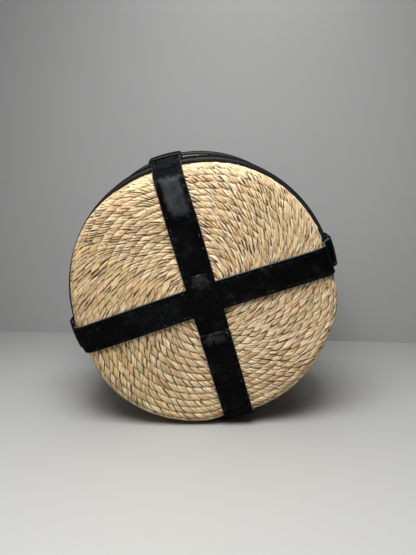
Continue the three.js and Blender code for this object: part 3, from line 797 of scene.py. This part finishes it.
def straw_rope(coil, name, start, end, step, strand_outline, material, nodes=()):
    """A length of twisted rope from row length start to end, rolled from a grid, twisted and wound."""
    first, last = coil.length_at(start), coil.length_at(end)
    per_strand = len(strand_outline)
    sides = per_strand * len(STRANDS)
    bm = bmesh.new()
    bmesh.ops.create_grid(bm, x_segments=round((last - first) / step), y_segments=sides, size=0.5)
    x, y, _ = points_of(bm)
    roll = 2 * pi * (y + 0.5)
    along = first + (x + 0.5) * (last - first)
    move_to(bm, (along, ROPE_HALF_WIDTH * np.cos(roll), ROPE_HALF_WIDTH * np.sin(roll)))
    bmesh.ops.remove_doubles(bm, verts=bm.verts, dist=0.01 * MM)
    bmesh.ops.holes_fill(bm, edges=[e for e in bm.edges if e.is_boundary], sides=0)

    length, y, z = points_of(bm)
    index = np.round(np.arctan2(z, y) / (2 * pi / sides)).astype(int) % sides
    strand, inside = index // per_strand, index % per_strand
    share, height = np.array(strand_outline)[inside].T
    creases = np.concatenate([[0], np.cumsum(STRANDS)]) * 2 * pi

    def crease(k):
        whole, k = k // len(STRANDS), k % len(STRANDS)
        return creases[k] + whole * 2 * pi + 0.5 * ripple(length / (9 * MM), 1.9 * k)

    low, high = crease(strand), crease(strand + 1)
    angle = low + (high - low) * share
    # most strands are two leaves side by side, less so at the lower right
    turn = coil.turn_at(length)
    parted = smooth(np.cos(turn - radians(12)) + 0.2 * ripple(turn * 1.3), -0.85, 0.35)
    pair = np.clip(0.92 - 0.45 * parted + 0.4 * ripple(length / (11 * MM), strand), 0, 1) * (per_strand > 4)
    height = height - 0.07 * pair * (share == 0.5)
    # creases close up here and there, and strands swell and shrink
    closed = smooth(ripple(length / (5 * MM), 2.1 * strand), 0.1, 0.7) * (inside == 0)
    height = height + (1 - height) * 0.55 * closed
    swell = 1 + 0.04 * ripple(length / (7 * MM), 2.7 * strand) + 0.035 * ripple(length / (31 * MM))
    facing = angle - np.interp(length, coil.length, coil.twist)
    cos, sin = np.cos(facing), np.sin(facing)
    # rows lie flat and close at the upper left of the base, and are clearly parted at its lower right
    square = ROPE_SQUARE + 4 * (1 - parted)
    wide = ROPE_HALF_WIDTH * (1.05 - 0.05 * parted)
    reach = (np.abs(cos / wide) ** square + np.abs(sin / ROPE_HALF_HEIGHT) ** square) ** (-1 / square)
    reach = np.minimum(height * swell * reach, 1.13 * ROPE_HALF_WIDTH)
    a, b = reach * cos, np.minimum(reach * sin, ROPE_THICKNESS / 2 + 0.12 * MM)
    move_to(bm, coil.wound(length, a, b))
    place_in(bm, BAG_PLACE)
    # each leaf is half a strand from where it comes up to where it dives again
    leaf = 2 * np.floor((facing + pi / 2) / (2 * pi)) + (share > 0.5)
    crest = np.minimum(2 * np.minimum(share, 1 - share), np.abs(2 * share - 1) + 1 - pair)
    # painted shade on the sides of each row where it meets the next, stronger where the rows are parted
    row_gap_shade = smooth(np.abs(a), 0.78 * ROPE_HALF_WIDTH, 0.97 * ROPE_HALF_WIDTH) * (0.25 + 0.75 * parted)
    attributes = {
        "strand": np.stack((length, np.cos(angle), np.sin(angle)), axis=1),
        "shape": np.stack((crest, row_gap_shade, scatter(leaf, strand)), axis=1),
        "leaf": np.stack([scatter(leaf, strand, k) for k in (1, 2, 3)], axis=1),
    }
    deliver(bm, name, [material], "bag", nodes, 42, attributes)


def straw_sewing(coil, pitch, material):
    """The pale thread that sews each row to the next; most of its stitches are drawn into the straw."""
    start, end = coil.length_at(9 * MM), coil.length_at(along_wall(BAG_HEIGHT - BINDING_DEPTH))
    per_block = 64
    blocks = math.ceil((end - start) / pitch / per_block)
    bm = stitches(6.2 * MM, 0.38 * MM, 5, (pitch, per_block - 1), (pitch * per_block, blocks - 1))
    x, y, z = points_of(bm)
    index = np.round(x / pitch)
    local = x - index * pitch
    centre = start + index * pitch + 2.4 * MM * ripple(index * 2.2)
    turn = coil.turn_at(centre)
    shown = 0.62 * np.cos(turn - radians(137)) + 0.42 * ripple(index * 0.9, 0.6) + 0.3 * ripple(turn, 1.1)
    depth = 0.12 * MM + 0.9 * MM * (1 - smooth(shown, -0.25, 0.5))
    side = coil.pitch / 2 + z + 0.26 * local + 0.3 * MM * ripple(index * 1.3, 2)
    height = ROPE_THICKNESS / 2 - depth + y - 0.04 * MM * (local / MM) ** 2
    move_to(bm, coil.wound(centre + local, side, height))
    place_in(bm, BAG_PLACE)
    deliver(bm, "straw_sewing", [material], "bag", (), 60)


# Lining


def lining(material):
    """The open bag of cotton, with folds in its wall and waves in its floor. Returns it with its area."""
    inner = (ROPE_THICKNESS + GAP) / math.cos(FLARE)
    foot, top = ROPE_THICKNESS + GAP, BAG_HEIGHT - GAP
    bend = 4 * MM
    floor_edge = wall_radius(foot) - inner
    profile = [(r * MM, foot) for r in (0, 4, 9, 15, 22, 30, 38, 46, 54, 62, 70, 77)]
    profile += [(floor_edge - bend, foot), (floor_edge - 0.9 * MM, foot + 0.8 * MM)]
    profile += [(wall_radius(s) - inner, s) for s in np.linspace(foot + bend, top, 26)]
    bm = turned(profile, 144)
    x, y, s = points_of(bm)
    q, angle = np.hypot(x, y), np.arctan2(x, y)
    on_wall = smooth(s, foot + bend, foot + 6 * bend) * (1 - smooth(s, top - 16 * MM, top - 12 * MM))
    fold = 1.0 * MM + 1.0 * MM * ripple(np.sin(angle) * 7 + np.cos(angle) * 5, 0.6)
    fold = fold + 0.7 * MM * ripple(s / (16 * MM) + 2 * np.sin(3 * angle), 1.4)
    inward = (0.5 * MM + np.maximum(fold, 0) * on_wall) * smooth(q, floor_edge - 2 * bend, floor_edge)
    on_floor = (1 - smooth(s, foot, foot + bend)) * smooth(q, 2 * MM, 20 * MM)
    up = 0.3 * MM + 0.8 * MM * (1 + ripple(x / (14 * MM) + y / (23 * MM), 0.9)) / 2 * on_floor
    scale = np.where(q > 1e-6, (q - inward) / np.maximum(q, 1e-6), 1)
    move_to(bm, (x * scale, y * scale, s + up * (1 - smooth(s, foot + bend, foot + 3 * bend))))
    x, y, s = points_of(bm)
    move_to(bm, settle(x, y, s))
    floor = s < foot + bend
    weave = np.stack((np.where(floor, x, angle * 90 * MM), np.where(floor, y, s), 0 * s), axis=1)
    area = sum(face.calc_area() for face in bm.faces)
    place_in(bm, BAG_PLACE)
    # the inside of an open shell: its faces look towards the bag's axis
    centre = BAG_PLACE @ Vector((0, 0, BAG_HEIGHT / 2))
    if sum(face.normal.dot(centre - face.calc_center_median()) for face in bm.faces) < 0:
        bmesh.ops.reverse_faces(bm, faces=bm.faces)
    piece = deliver(bm, "bag_lining", [material], "bag", ["lining"], 60, {"weave": weave})
    return piece, area


# Leather


def strap(name, start, end, width, thickness, under, angle, offset, looks, rows=True, corner=1.5 * MM,
          ends=(True, True), whip=None, on_table=False, narrow=0.0, polish=None):
    """A leather strap laid on the bag. under gives the height of its underside along it, and offset how
    far it lies off its line. Its ends may be rounded, its start narrower, one place of it overcast, and a
    part of its length given a painted sheen: from, full, until, gone and how strongly."""
    half = width / 2

    def laid(u, h, t):
        return lay(u, under(u) + h, t, angle, offset(u) if callable(offset) else offset)

    section = leather_section(width, thickness, groove=GROOVE_DEPTH if rows else 0.0)
    bm = drawn(section, stations_between(start, end, STRAP_STEP))
    u, h, t = points_of(bm)
    # the rounded edges, which the finish paints lighter as a highlight and gives more coat
    edge = smooth(np.abs(t), half - EDGE_ROUND, half) * (1 if rows else 0.2)
    round_off, tuck = np.ones_like(u), np.zeros_like(u)
    for near, rounded in ((u - start, ends[0]), (end - u, ends[1])):
        if rounded:
            near = np.maximum(near, 0)
            round_off *= 0.45 + 0.55 * np.sqrt(np.clip(near / EDGE_ROUND, 0, 1))
            short = np.clip(1 - near / corner, 0, 1)
            tuck = np.maximum(tuck, corner * (1 - np.sqrt(1 - short ** 2)))
    across = t * (1 - np.minimum(tuck, half) / half)
    across = across * (1 - narrow * (1 - smooth(u, start, start + 12 * MM)))
    wave = 0.07 * MM * ripple(u / (9 * MM), 1.7) * np.cos(t / (7 * MM))
    wave = wave + 0.05 * MM * ripple(u / (4 * MM), 0.4)
    shine = np.zeros_like(u)
    # painted sheen: the middle of the strap is painted grey over part of its length
    if polish:
        begin, full, until, gone, strength = polish
        inside = 1 - smooth(np.abs(t), half - 6 * MM, half - 2 * MM)
        shine = smooth(u, begin, full) * (1 - smooth(u, until, gone)) * inside * strength
    move_to(bm, laid(u, h * round_off + wave * h / thickness, across))
    sewing = []
    if rows:
        places = np.arange(start + STITCH_INSET, end - 1.2 * MM, STITCH_PITCH)
        for side in (STITCH_INSET - half, half - STITCH_INSET):
            sewing.append(stitch_row(
                places, lambda x, y, z: laid(x, thickness - STITCH_SINK + y, side + z)))
    if whip is not None:
        # overcast stitches across an end, alternately leaning
        spots = np.arange(2.4 * MM - half, half - 2 * MM, 2.1 * MM)
        apart = 8 * MM
        row = stitches(3.4 * MM, 0.42 * MM, 6, (apart, len(spots) - 1))
        x, y, z = points_of(row)
        index = np.round(x / apart).astype(int)
        local = x - index * apart
        lean = 0.6 * local * np.where(index % 2, -1, 1)
        move_to(row, laid(whip + 1.1 * local, 0.92 * thickness + y, spots[index] + lean + z))
        sewing.append(row)
    sewn(bm, sewing, name, looks, {"edge": edge, "polish": shine}, on_table=on_table)


def belt(looks):
    """The belt round the wall: turned with its place along the outline as its radius, then laid."""
    section = [(BELT_MIDDLE + t, GAP + h) for t, h in leather_section(BELT_WIDTH, BELT_THICKNESS)]
    bm = turned([*section, section[0]], RING_STEPS)
    x, y, h = points_of(bm)
    u = np.hypot(x, y)
    # its two edges, which the finish paints lighter as a highlight and gives more coat
    edge = 1 - smooth(np.minimum(u - BELT_FROM, BELT_TO - u), 0, 1 * MM)
    move_to(bm, around(u, h, np.arctan2(x, y)))
    rows = [ring_row(BELT_STITCHES, lambda turn, y, z: around(line + z, BELT_TOP - STITCH_SINK + y, turn))
            for line in (BELT_FROM + STITCH_INSET, BELT_TO - STITCH_INSET)]
    sewn(bm, rows, "base_belt", looks, {"edge": edge}, on_table=True)


def binding(looks):
    """The leather that is folded over the rim of straw and lining."""
    inside = -(ROPE_THICKNESS + 2 * GAP + LINING_THICKNESS)
    inner, outer = inside - BINDING_THICKNESS, GAP + BINDING_THICKNESS
    foot, inner_foot, top = BAG_HEIGHT - BINDING_DEPTH, BAG_HEIGHT - BINDING_INSIDE, BAG_HEIGHT + GAP
    crest, bend, dent = top + BINDING_THICKNESS, 3.2 * MM, 0.3 * MM

    def out(s, h):
        return wall_radius(s) + h / math.cos(FLARE)

    def grooved(low, face, depth, places):
        """Points up a face, with the groove of its stitches."""
        return [(out(low + d * MM, face - depth * math.exp(-(((d - 2.2) / 0.34) ** 2))), low + d * MM)
                for d in places]

    near = (1.2, 1.6, 1.95, 2.2, 2.45, 2.8, 3.3, 5)
    profile = [(out(foot, GAP), foot + 0.3 * MM), (out(foot, GAP + 0.6 * MM), foot),
               (out(foot, outer - 0.7 * MM), foot + 0.1 * MM),
               (out(foot, outer - 0.15 * MM), foot + 0.6 * MM)]
    profile += grooved(foot, outer, dent, (*near, 7.5, 10))
    profile += arc(out(top, outer) - bend, crest - bend, bend, bend, (0, 22, 45, 68, 90))
    profile += arc(out(top, inner) + bend, crest - bend, -bend, bend, (90, 68, 45, 22, 0))
    profile += grooved(inner_foot, inner, -dent, (8, *reversed(near)))
    profile += [(out(inner_foot, inner + 0.15 * MM), inner_foot + 0.6 * MM),
                (out(inner_foot, inner + 0.7 * MM), inner_foot),
                (out(inner_foot, inside), inner_foot), (out(top, inside), top), (out(top, GAP), top)]
    bm = turned([*profile, profile[0]], RING_STEPS)
    x, y, s = points_of(bm)
    near_foot = np.minimum(np.abs(s - foot), np.abs(s - inner_foot))
    # the edges at its feet and the top of its fold, which the finish paints lighter as a highlight and gives more
    # coat
    edge = 1 - smooth(near_foot, 0, EDGE_ROUND) + 0.5 * smooth(s, crest - EDGE_ROUND, crest)
    low = smooth(s, foot, foot + 1.5 * MM) * (1 - smooth(s, foot + 3 * MM, foot + 6 * MM))
    scale = 1 + 0.12 * MM * np.sin(np.arctan2(x, y) * RIM_PUCKERS) * low / np.hypot(x, y)
    move_to(bm, (x * scale, y * scale, s))
    rows = []
    for low, face, count in zip((foot, inner_foot), (outer - STITCH_SINK, inner + STITCH_SINK), RIM_STITCHES):
        height = low + STITCH_INSET
        radius = out(height, face)
        rows.append(ring_row(count, lambda turn, y, z: (
            (radius + y) * np.sin(turn), (radius + y) * np.cos(turn), height + z)))
    sewn(bm, rows, "rim_binding", looks, {"edge": edge}, on_table=True)


def keeper(name, width, angle, offset, looks, on_table=False, lift=0.0):
    """A leather loop on the belt over a strap; its ends go through slits in the belt. It may stand higher."""
    half = width / 2 + KEEPER_SLACK - KEEPER_BEND
    foot, high = BELT_TOP + GAP, STRAP_ON_BELT + STRAP_THICKNESS + GAP - KEEPER_BEND + lift
    # its line from foot to foot as across, up and the direction outwards
    rise = [(half, foot, 0.0), (half, (foot + high) / 2, 0.0), (half, high, 0.0), (half, high, pi / 4)]
    line = rise + [(t, high, pi / 2) for t in np.linspace(half, -half, 17)]
    line += [(-t, h, pi - out) for t, h, out in reversed(rise)]
    section = leather_section(KEEPER_LENGTH, KEEPER_THICKNESS, 0.25 * MM, KEEPER_INSET)
    bm = drawn(section, np.arange(len(line)))
    x, h, u = points_of(bm)
    across, up, out = np.array(line)[np.round(x).astype(int)].T
    reach = KEEPER_BEND + h
    # its ends, which the finish paints lighter as a highlight and gives more coat
    worn = smooth(np.abs(u), KEEPER_LENGTH / 2 - 0.8 * MM, KEEPER_LENGTH / 2)
    move_to(bm, lay(BELT_MIDDLE + u, up + reach * np.sin(out), across + reach * np.cos(out), angle, offset))
    places = np.arange(1.6 * MM - half, half - 1 * MM, RING_PITCH)
    top = high + KEEPER_BEND + KEEPER_THICKNESS - 0.16 * MM
    rows = [stitch_row(places, lambda x, y, z: lay(side + z, top + y, x, angle, offset), 2.4 * MM, 0.3 * MM)
            for side in (BELT_MIDDLE - KEEPER_LENGTH / 2 + KEEPER_INSET,
                         BELT_MIDDLE + KEEPER_LENGTH / 2 - KEEPER_INSET)]
    sewn(bm, rows, name, looks, {"edge": worn}, on_table=on_table)


def handle_layer(name, low, thickness, looks, outside):
    """One layer of the handle with round ends; its stitches show on the outside or else on the inside."""
    half = HANDLE_WIDTH / 2
    section = leather_section(HANDLE_WIDTH, thickness, 0.26 * MM)
    if not outside:
        section = [(t, thickness - h) for t, h in reversed(section)]
    tip = np.array([0, 0.15, 0.5, 1.1, 2, 3.2, 4.8, 6.8, 9]) * MM
    middle = np.arange(10.75 * MM, HANDLE_LENGTH - 10.7 * MM, 2.2 * MM)
    bm = drawn(section, np.concatenate([tip, middle, HANDLE_LENGTH - tip[::-1]]))
    v, h, t = points_of(bm)
    near = np.clip(np.minimum(v, HANDLE_LENGTH - v), 0, half)
    width = np.sqrt(np.maximum(half ** 2 - (half - near) ** 2, 0)) / half
    # the rounded edges, which the finish paints lighter as a highlight and gives more coat
    edge = smooth(np.abs(t), half - EDGE_ROUND, half)
    wave = 0.05 * MM * ripple(v / (8 * MM), low / MM)
    move_to(bm, handle_arch(v, low + h + wave, t * np.maximum(width, 0.03)))
    places = np.arange(8.6 * MM, HANDLE_LENGTH - 8.4 * MM, STITCH_PITCH)
    top = low + (thickness - 0.15 * MM if outside else 0.15 * MM)
    rows = [stitch_row(places, lambda x, y, z: handle_arch(x, top + y, side + z), radius=0.32 * MM)
            for side in (STITCH_INSET - half, half - STITCH_INSET)]
    sewn(bm, rows, name, looks, {"edge": edge}, HANDLE_PLACE, "handle")


def rivet(side, turn, brass):
    """A rivet with a domed cap, which goes through handle, strap, straw and lining to its burr."""
    under = ARCH_HALF + HANDLE_BACKING + GAP + HANDLE_OUTER + GAP
    lining_face = wall_radius(RIVET_HEIGHT) - (ROPE_THICKNESS + GAP + LINING_THICKNESS) / math.cos(FLARE)
    end = lining_face - GAP - CAP_RADIUS * math.tan(FLARE) - POST_PAST_LINING - GAP
    profile = [(0, end), (POST_RADIUS * 0.8, end), (POST_RADIUS, end + 0.4 * MM), (POST_RADIUS, under),
               (CAP_RADIUS - 0.2 * MM, under), (CAP_RADIUS, under + 0.25 * MM)]
    profile += arc(0, under + CAP_RIM, CAP_RADIUS, CAP_HEIGHT - CAP_RIM, (15, 32, 48, 62, 76, 90))
    bm = turned(profile, 48)
    bm.transform(Matrix.Rotation(pi / 2, 4, "Y"))
    place_in(bm, SLING_PLACE @ Matrix.Rotation(turn, 4, "Z"))
    deliver(bm, f"rivet_{side}", [brass], "bag", [f"rivet_{side}"], 35)


# Settings


def colour_property(name, default, description):
    return bpy.props.FloatVectorProperty(
        name=name, description=description, subtype="COLOR", size=3, min=0, max=1, default=default)


def length_property(name, default, description):
    return bpy.props.FloatProperty(name=name, description=description, default=default, unit="LENGTH")


class StrawLook(bpy.types.PropertyGroup):
    row_pitch: length_property("Row pitch", 5 * MM, "Distance from one row of rope to the next")
    stitch_pitch: length_property("Stitch pitch", 8.9 * MM, "Distance between stitches that join the rows")
    pale_colour: colour_property("Pale straw", (0.97, 0.83, 0.575), "Bleached strands")
    light_colour: colour_property("Light straw", (0.82, 0.585, 0.32), "Most strands")
    tan_colour: colour_property("Tan straw", (0.62, 0.41, 0.20), "Darker strands")
    shade_colour: colour_property("Dark straw", (0.34, 0.21, 0.10), "The darkest strands")
    warm_colour: colour_property("Warm tint", (1.0, 0.86, 0.66), "Tints the orange stretches")
    green_colour: colour_property("Green tint", (0.76, 0.84, 0.66), "Tints the olive stretches")
    grey_colour: colour_property("Grey tint", (0.82, 0.78, 0.84), "Tints the weathered stretches")
    # colour of the painted shade in the creases between strands and between the rows
    crease_shade_colour: colour_property("Creases", (0.045, 0.024, 0.011), "Between strands and rows")
    thread_colour: colour_property("Sewing thread", (0.90, 0.86, 0.80), "Thread that joins the rows")


class LeatherLook(bpy.types.PropertyGroup):
    grain_size: length_property("Grain", 0.55 * MM, "Distance between the pores")
    leather_colour: colour_property("Leather", (0.0030, 0.0032, 0.0035), "Colour of the straps")
    deep_colour: colour_property("Deep leather", (0.0015, 0.0015, 0.0016), "Where the dye is deepest")
    scuff_colour: colour_property("Scuffs", (0.020, 0.023, 0.025), "Dull worn places and edges")
    # grey of the painted sheen and of the painted highlights on the leather's edges
    painted_sheen_colour: colour_property("Bloom", (0.060, 0.070, 0.078), "Grey bloom left by hands and wax")
    thread_colour: colour_property("Leather thread", (0.0025, 0.0025, 0.0028), "Waxed thread of the straps")
    # pale flecks of the leather thread: dust and painted glints
    fleck_and_glint_colour: colour_property("Flecks", (0.065, 0.070, 0.074), "Rubbed spots of that thread")


class DetailLook(bpy.types.PropertyGroup):
    cotton_colour: colour_property("Cotton", (0.66, 0.60, 0.47), "Colour of the lining")
    cotton_shade: colour_property("Cotton shade", (0.46, 0.40, 0.30), "Its shaded threads")
    weave_size: length_property("Weave", 0.7 * MM, "Distance between the lining's threads")
    brass_colour: colour_property("Brass", (0.50, 0.36, 0.17), "Colour of the rivets")
    tarnish_colour: colour_property("Tarnish", (0.20, 0.13, 0.06), "Where the brass has darkened")
    floor_colour: colour_property("Table", (0.475, 0.475, 0.458), "Colour of the table")
    wall_colour: colour_property("Wall", (0.42, 0.42, 0.42), "Colour of the wall")


# Operators


# rim: how strongly the leather's edges are painted lighter as a highlight
def leather_looks(name, roughness, sheen, rim):
    """A leather and its thread, made when they are first asked for."""
    look = bpy.context.scene.straw_bag_leather
    leather = bpy.data.materials.get(name) or leather_finish(name, look, roughness, sheen, rim)
    thread = bpy.data.materials.get("waxed_thread") or thread_finish(
        "waxed_thread", look.thread_colour, look.deep_colour, look.fleck_and_glint_colour, roughness=0.6, gloss=0.03)
    return [leather, thread]


def strap_looks():
    return leather_looks("polished_leather", roughness=0.36, sheen=0.35, rim=0.9)


def trim_looks():
    return leather_looks("satin_leather", roughness=0.46, sheen=0.3, rim=0.1)


class STRAWBAG_OT_straw(bpy.types.Operator):
    """Winds and sews the bucket of straw rope"""

    bl_idname = "strawbag.straw"
    bl_label = "Straw bucket"

    def execute(self, context):
        look = context.scene.straw_bag_straw
        coil = Coil(look.row_pitch)
        material = straw_finish(look)
        base, wall = (BASE_STEP, BASE_STRAND, material), (WALL_STEP, WALL_STRAND, material)
        corner = BASE_ROWS * look.row_pitch
        rim = along_wall(BAG_HEIGHT) - 0.7 * look.row_pitch
        halfway = corner + (rim - corner) * WALL_SPLIT
        between = BASE_SPLIT * corner
        lap = PIECE_LAP * look.row_pitch
        straw_rope(coil, "straw_base_middle", 1 * MM, between, *base, ["straw_body"])
        straw_rope(coil, "straw_base_edge", between - lap, corner, *base)
        straw_rope(coil, "straw_wall_lower", corner - lap, halfway, *wall)
        straw_rope(coil, "straw_wall_upper", halfway - lap, rim, *wall)
        straw_sewing(coil, look.stitch_pitch, thread_finish(
            "sewing_thread", look.thread_colour, look.light_colour, look.pale_colour, roughness=0.7,
            gloss=0.5))
        return {"FINISHED"}


class STRAWBAG_OT_lining(bpy.types.Operator):
    """Makes the cotton lining"""

    bl_idname = "strawbag.lining"
    bl_label = "Lining"

    def execute(self, context):
        piece, area = lining(cloth_finish(context.scene.straw_bag_detail))
        return {"FINISHED"}


class STRAWBAG_OT_trim(bpy.types.Operator):
    """Makes the belt, the rim binding and the keepers"""

    bl_idname = "strawbag.trim"
    bl_label = "Belt, binding and keepers"

    def execute(self, context):
        looks = trim_looks()
        belt(looks)
        binding(looks)
        keeper("keeper_bottom", BRACE_WIDTH, BRACE_ANGLE, BRACE_OFFSET, looks, on_table=True)
        keeper("keeper_top", BRACE_WIDTH, BRACE_ANGLE + pi, -BRACE_OFFSET, looks, lift=KEEPER_TOP_LIFT)
        keeper("keeper_right", SLING_WIDTH, SLING_ANGLE, 0, looks)
        keeper("keeper_left", SLING_WIDTH, SLING_ANGLE + pi, SLING_DROP, looks)
        for side in ("left", "right"):
            repaint(f"washer_{side}", looks[0])
        return {"FINISHED"}


class STRAWBAG_OT_harness(bpy.types.Operator):
    """Lays the sling strap, the two brace straps and the patch over the base"""

    bl_idname = "strawbag.harness"
    bl_label = "Harness"

    def execute(self, context):
        looks = strap_looks()
        strap("sling_strap", -STRAP_END, STRAP_END, SLING_WIDTH, STRAP_THICKNESS, over_belt,
              SLING_ANGLE, sling_sway, looks, ends=(False, False))
        # painted sheen on the upper strap towards the corner, on the lower strap by the patch and on the patch's
        # upper end
        strap("brace_strap_top", SLING_WIDTH / 2 + 2 * GAP, STRAP_END, BRACE_WIDTH, STRAP_THICKNESS,
              under_hump, BRACE_ANGLE + pi, -BRACE_OFFSET, looks, ends=(True, False),
              polish=(52 * MM, 72 * MM, CORNER_FROM - 4 * MM, CORNER_FROM + 8 * MM, 0.9))
        strap("brace_strap_bottom", PATCH_SHOWN, STRAP_END, BRACE_WIDTH, STRAP_THICKNESS,
              off_patch, BRACE_ANGLE, BRACE_OFFSET, looks, ends=(True, False),
              whip=PATCH_SHOWN + 1.7 * MM, on_table=True,
              polish=(20 * MM, 21 * MM, 28 * MM, 42 * MM, 0.5))
        strap("centre_patch", -PATCH_ABOVE, PATCH_BELOW, BRACE_WIDTH, PATCH_THICKNESS,
              over_sling, BRACE_ANGLE, BRACE_OFFSET, looks, rows=False, corner=6.5 * MM, narrow=0.14,
              whip=1.2 * MM - PATCH_ABOVE, polish=(-30 * MM, -29 * MM, -14 * MM, -1 * MM, 0.6))
        return {"FINISHED"}


class STRAWBAG_OT_handle(bpy.types.Operator):
    """Makes the two layers of the handle and its rivets"""

    bl_idname = "strawbag.handle"
    bl_label = "Handle and rivets"

    def execute(self, context):
        looks = strap_looks()
        handle_layer("handle_backing", 0, HANDLE_BACKING, looks, outside=False)
        handle_layer("handle_outer", HANDLE_BACKING + GAP, HANDLE_OUTER, looks, outside=True)
        brass = metal_finish(context.scene.straw_bag_detail)
        for side, turn in (("right", 0), ("left", pi)):
            rivet(side, turn, brass)
            repaint(f"rivet_burr_{side}", brass)
        return {"FINISHED"}


class STRAWBAG_OT_stage(bpy.types.Operator):
    """Sets the table, the wall, the lamps and the camera"""

    bl_idname = "strawbag.stage"
    bl_label = "Stage"

    def execute(self, context):
        look = context.scene.straw_bag_detail
        scene = context.scene
        scene.view_settings.view_transform = "Standard"
        large = Matrix.Diagonal((3, 3, 1, 1))
        floor = self.plane("floor", large, stage_finish("table_top", tuple(look.floor_colour), 0.55))
        left, right = WALL_LINE
        along = right - left
        turn = Matrix.Rotation(math.atan2(along.y, along.x), 4, "Z") @ Matrix.Rotation(pi / 2, 4, "X")
        wall = self.plane("wall", Matrix.Translation((left + right) / 2) @ turn @ large,
                          stage_finish("wall_paint", tuple(look.wall_colour), 0.8, one_sided=True))

        scene.world = scene.world or bpy.data.worlds.new("studio")
        scene.world.use_nodes = True
        sky = scene.world.node_tree.nodes["Background"]
        sky.inputs["Color"].default_value = SKY_COLOUR
        sky.inputs["Strength"].default_value = SKY_STRENGTH
        for lamp in LAMPS:
            self.lamp(*lamp)

        data = bpy.data.cameras.new("camera")
        data.sensor_fit = "AUTO"
        data.sensor_width = 36
        data.lens = FOCAL_PIXELS / PHOTO_HEIGHT * data.sensor_width
        data.clip_start = 0.01
        camera = add("camera", data)
        camera.location = CAMERA_PLACE
        camera.rotation_euler = (CAMERA_PITCH, 0, CAMERA_YAW)
        scene.camera = camera
        return {"FINISHED"}

    @staticmethod
    def plane(name, matrix, material):
        bm = bmesh.new()
        bmesh.ops.create_grid(bm, x_segments=1, y_segments=1, size=1, matrix=matrix)
        return made(bm, name, [material])

    @staticmethod
    def lamp(name, size, power, place, target):
        data = bpy.data.lights.new(name, "AREA")
        data.size, data.energy = size, power
        lamp = add(name, data)
        lamp.location = place
        lamp.rotation_euler = (Vector(target) - Vector(place)).to_track_quat("-Z", "Y").to_euler()


class STRAWBAG_PT_panel(bpy.types.Panel):
    """Lists the steps of the bag"""

    bl_idname = "STRAWBAG_PT_panel"
    bl_label = "Straw bag"
    bl_space_type = "VIEW_3D"
    bl_region_type = "UI"
    bl_category = "Straw bag"

    def draw(self, context):
        for operator in OPERATORS:
            self.layout.operator(operator.bl_idname)
        for group in LOOKS:
            settings = getattr(context.scene, group)
            box = self.layout.box()
            for key in settings.bl_rna.properties.keys():
                if key not in ("name", "rna_type"):
                    box.prop(settings, key)


OPERATORS = (STRAWBAG_OT_stage, STRAWBAG_OT_straw, STRAWBAG_OT_lining, STRAWBAG_OT_trim,
             STRAWBAG_OT_harness, STRAWBAG_OT_handle)
LOOKS = {"straw_bag_straw": StrawLook, "straw_bag_leather": LeatherLook, "straw_bag_detail": DetailLook}


def register():
    for kind in (*LOOKS.values(), *OPERATORS, STRAWBAG_PT_panel):
        bpy.utils.register_class(kind)
    for key, kind in LOOKS.items():
        setattr(bpy.types.Scene, key, bpy.props.PointerProperty(type=kind))


def unregister():
    for key in LOOKS:
        delattr(bpy.types.Scene, key)
    for kind in (STRAWBAG_PT_panel, *reversed(OPERATORS), *LOOKS.values()):
        bpy.utils.unregister_class(kind)


def main():
    register()
    bpy.ops.strawbag.stage()
    bpy.ops.strawbag.straw()
    bpy.ops.strawbag.lining()
    bpy.ops.strawbag.trim()
    bpy.ops.strawbag.harness()
    bpy.ops.strawbag.handle()


if __name__ == "__main__":
    main()
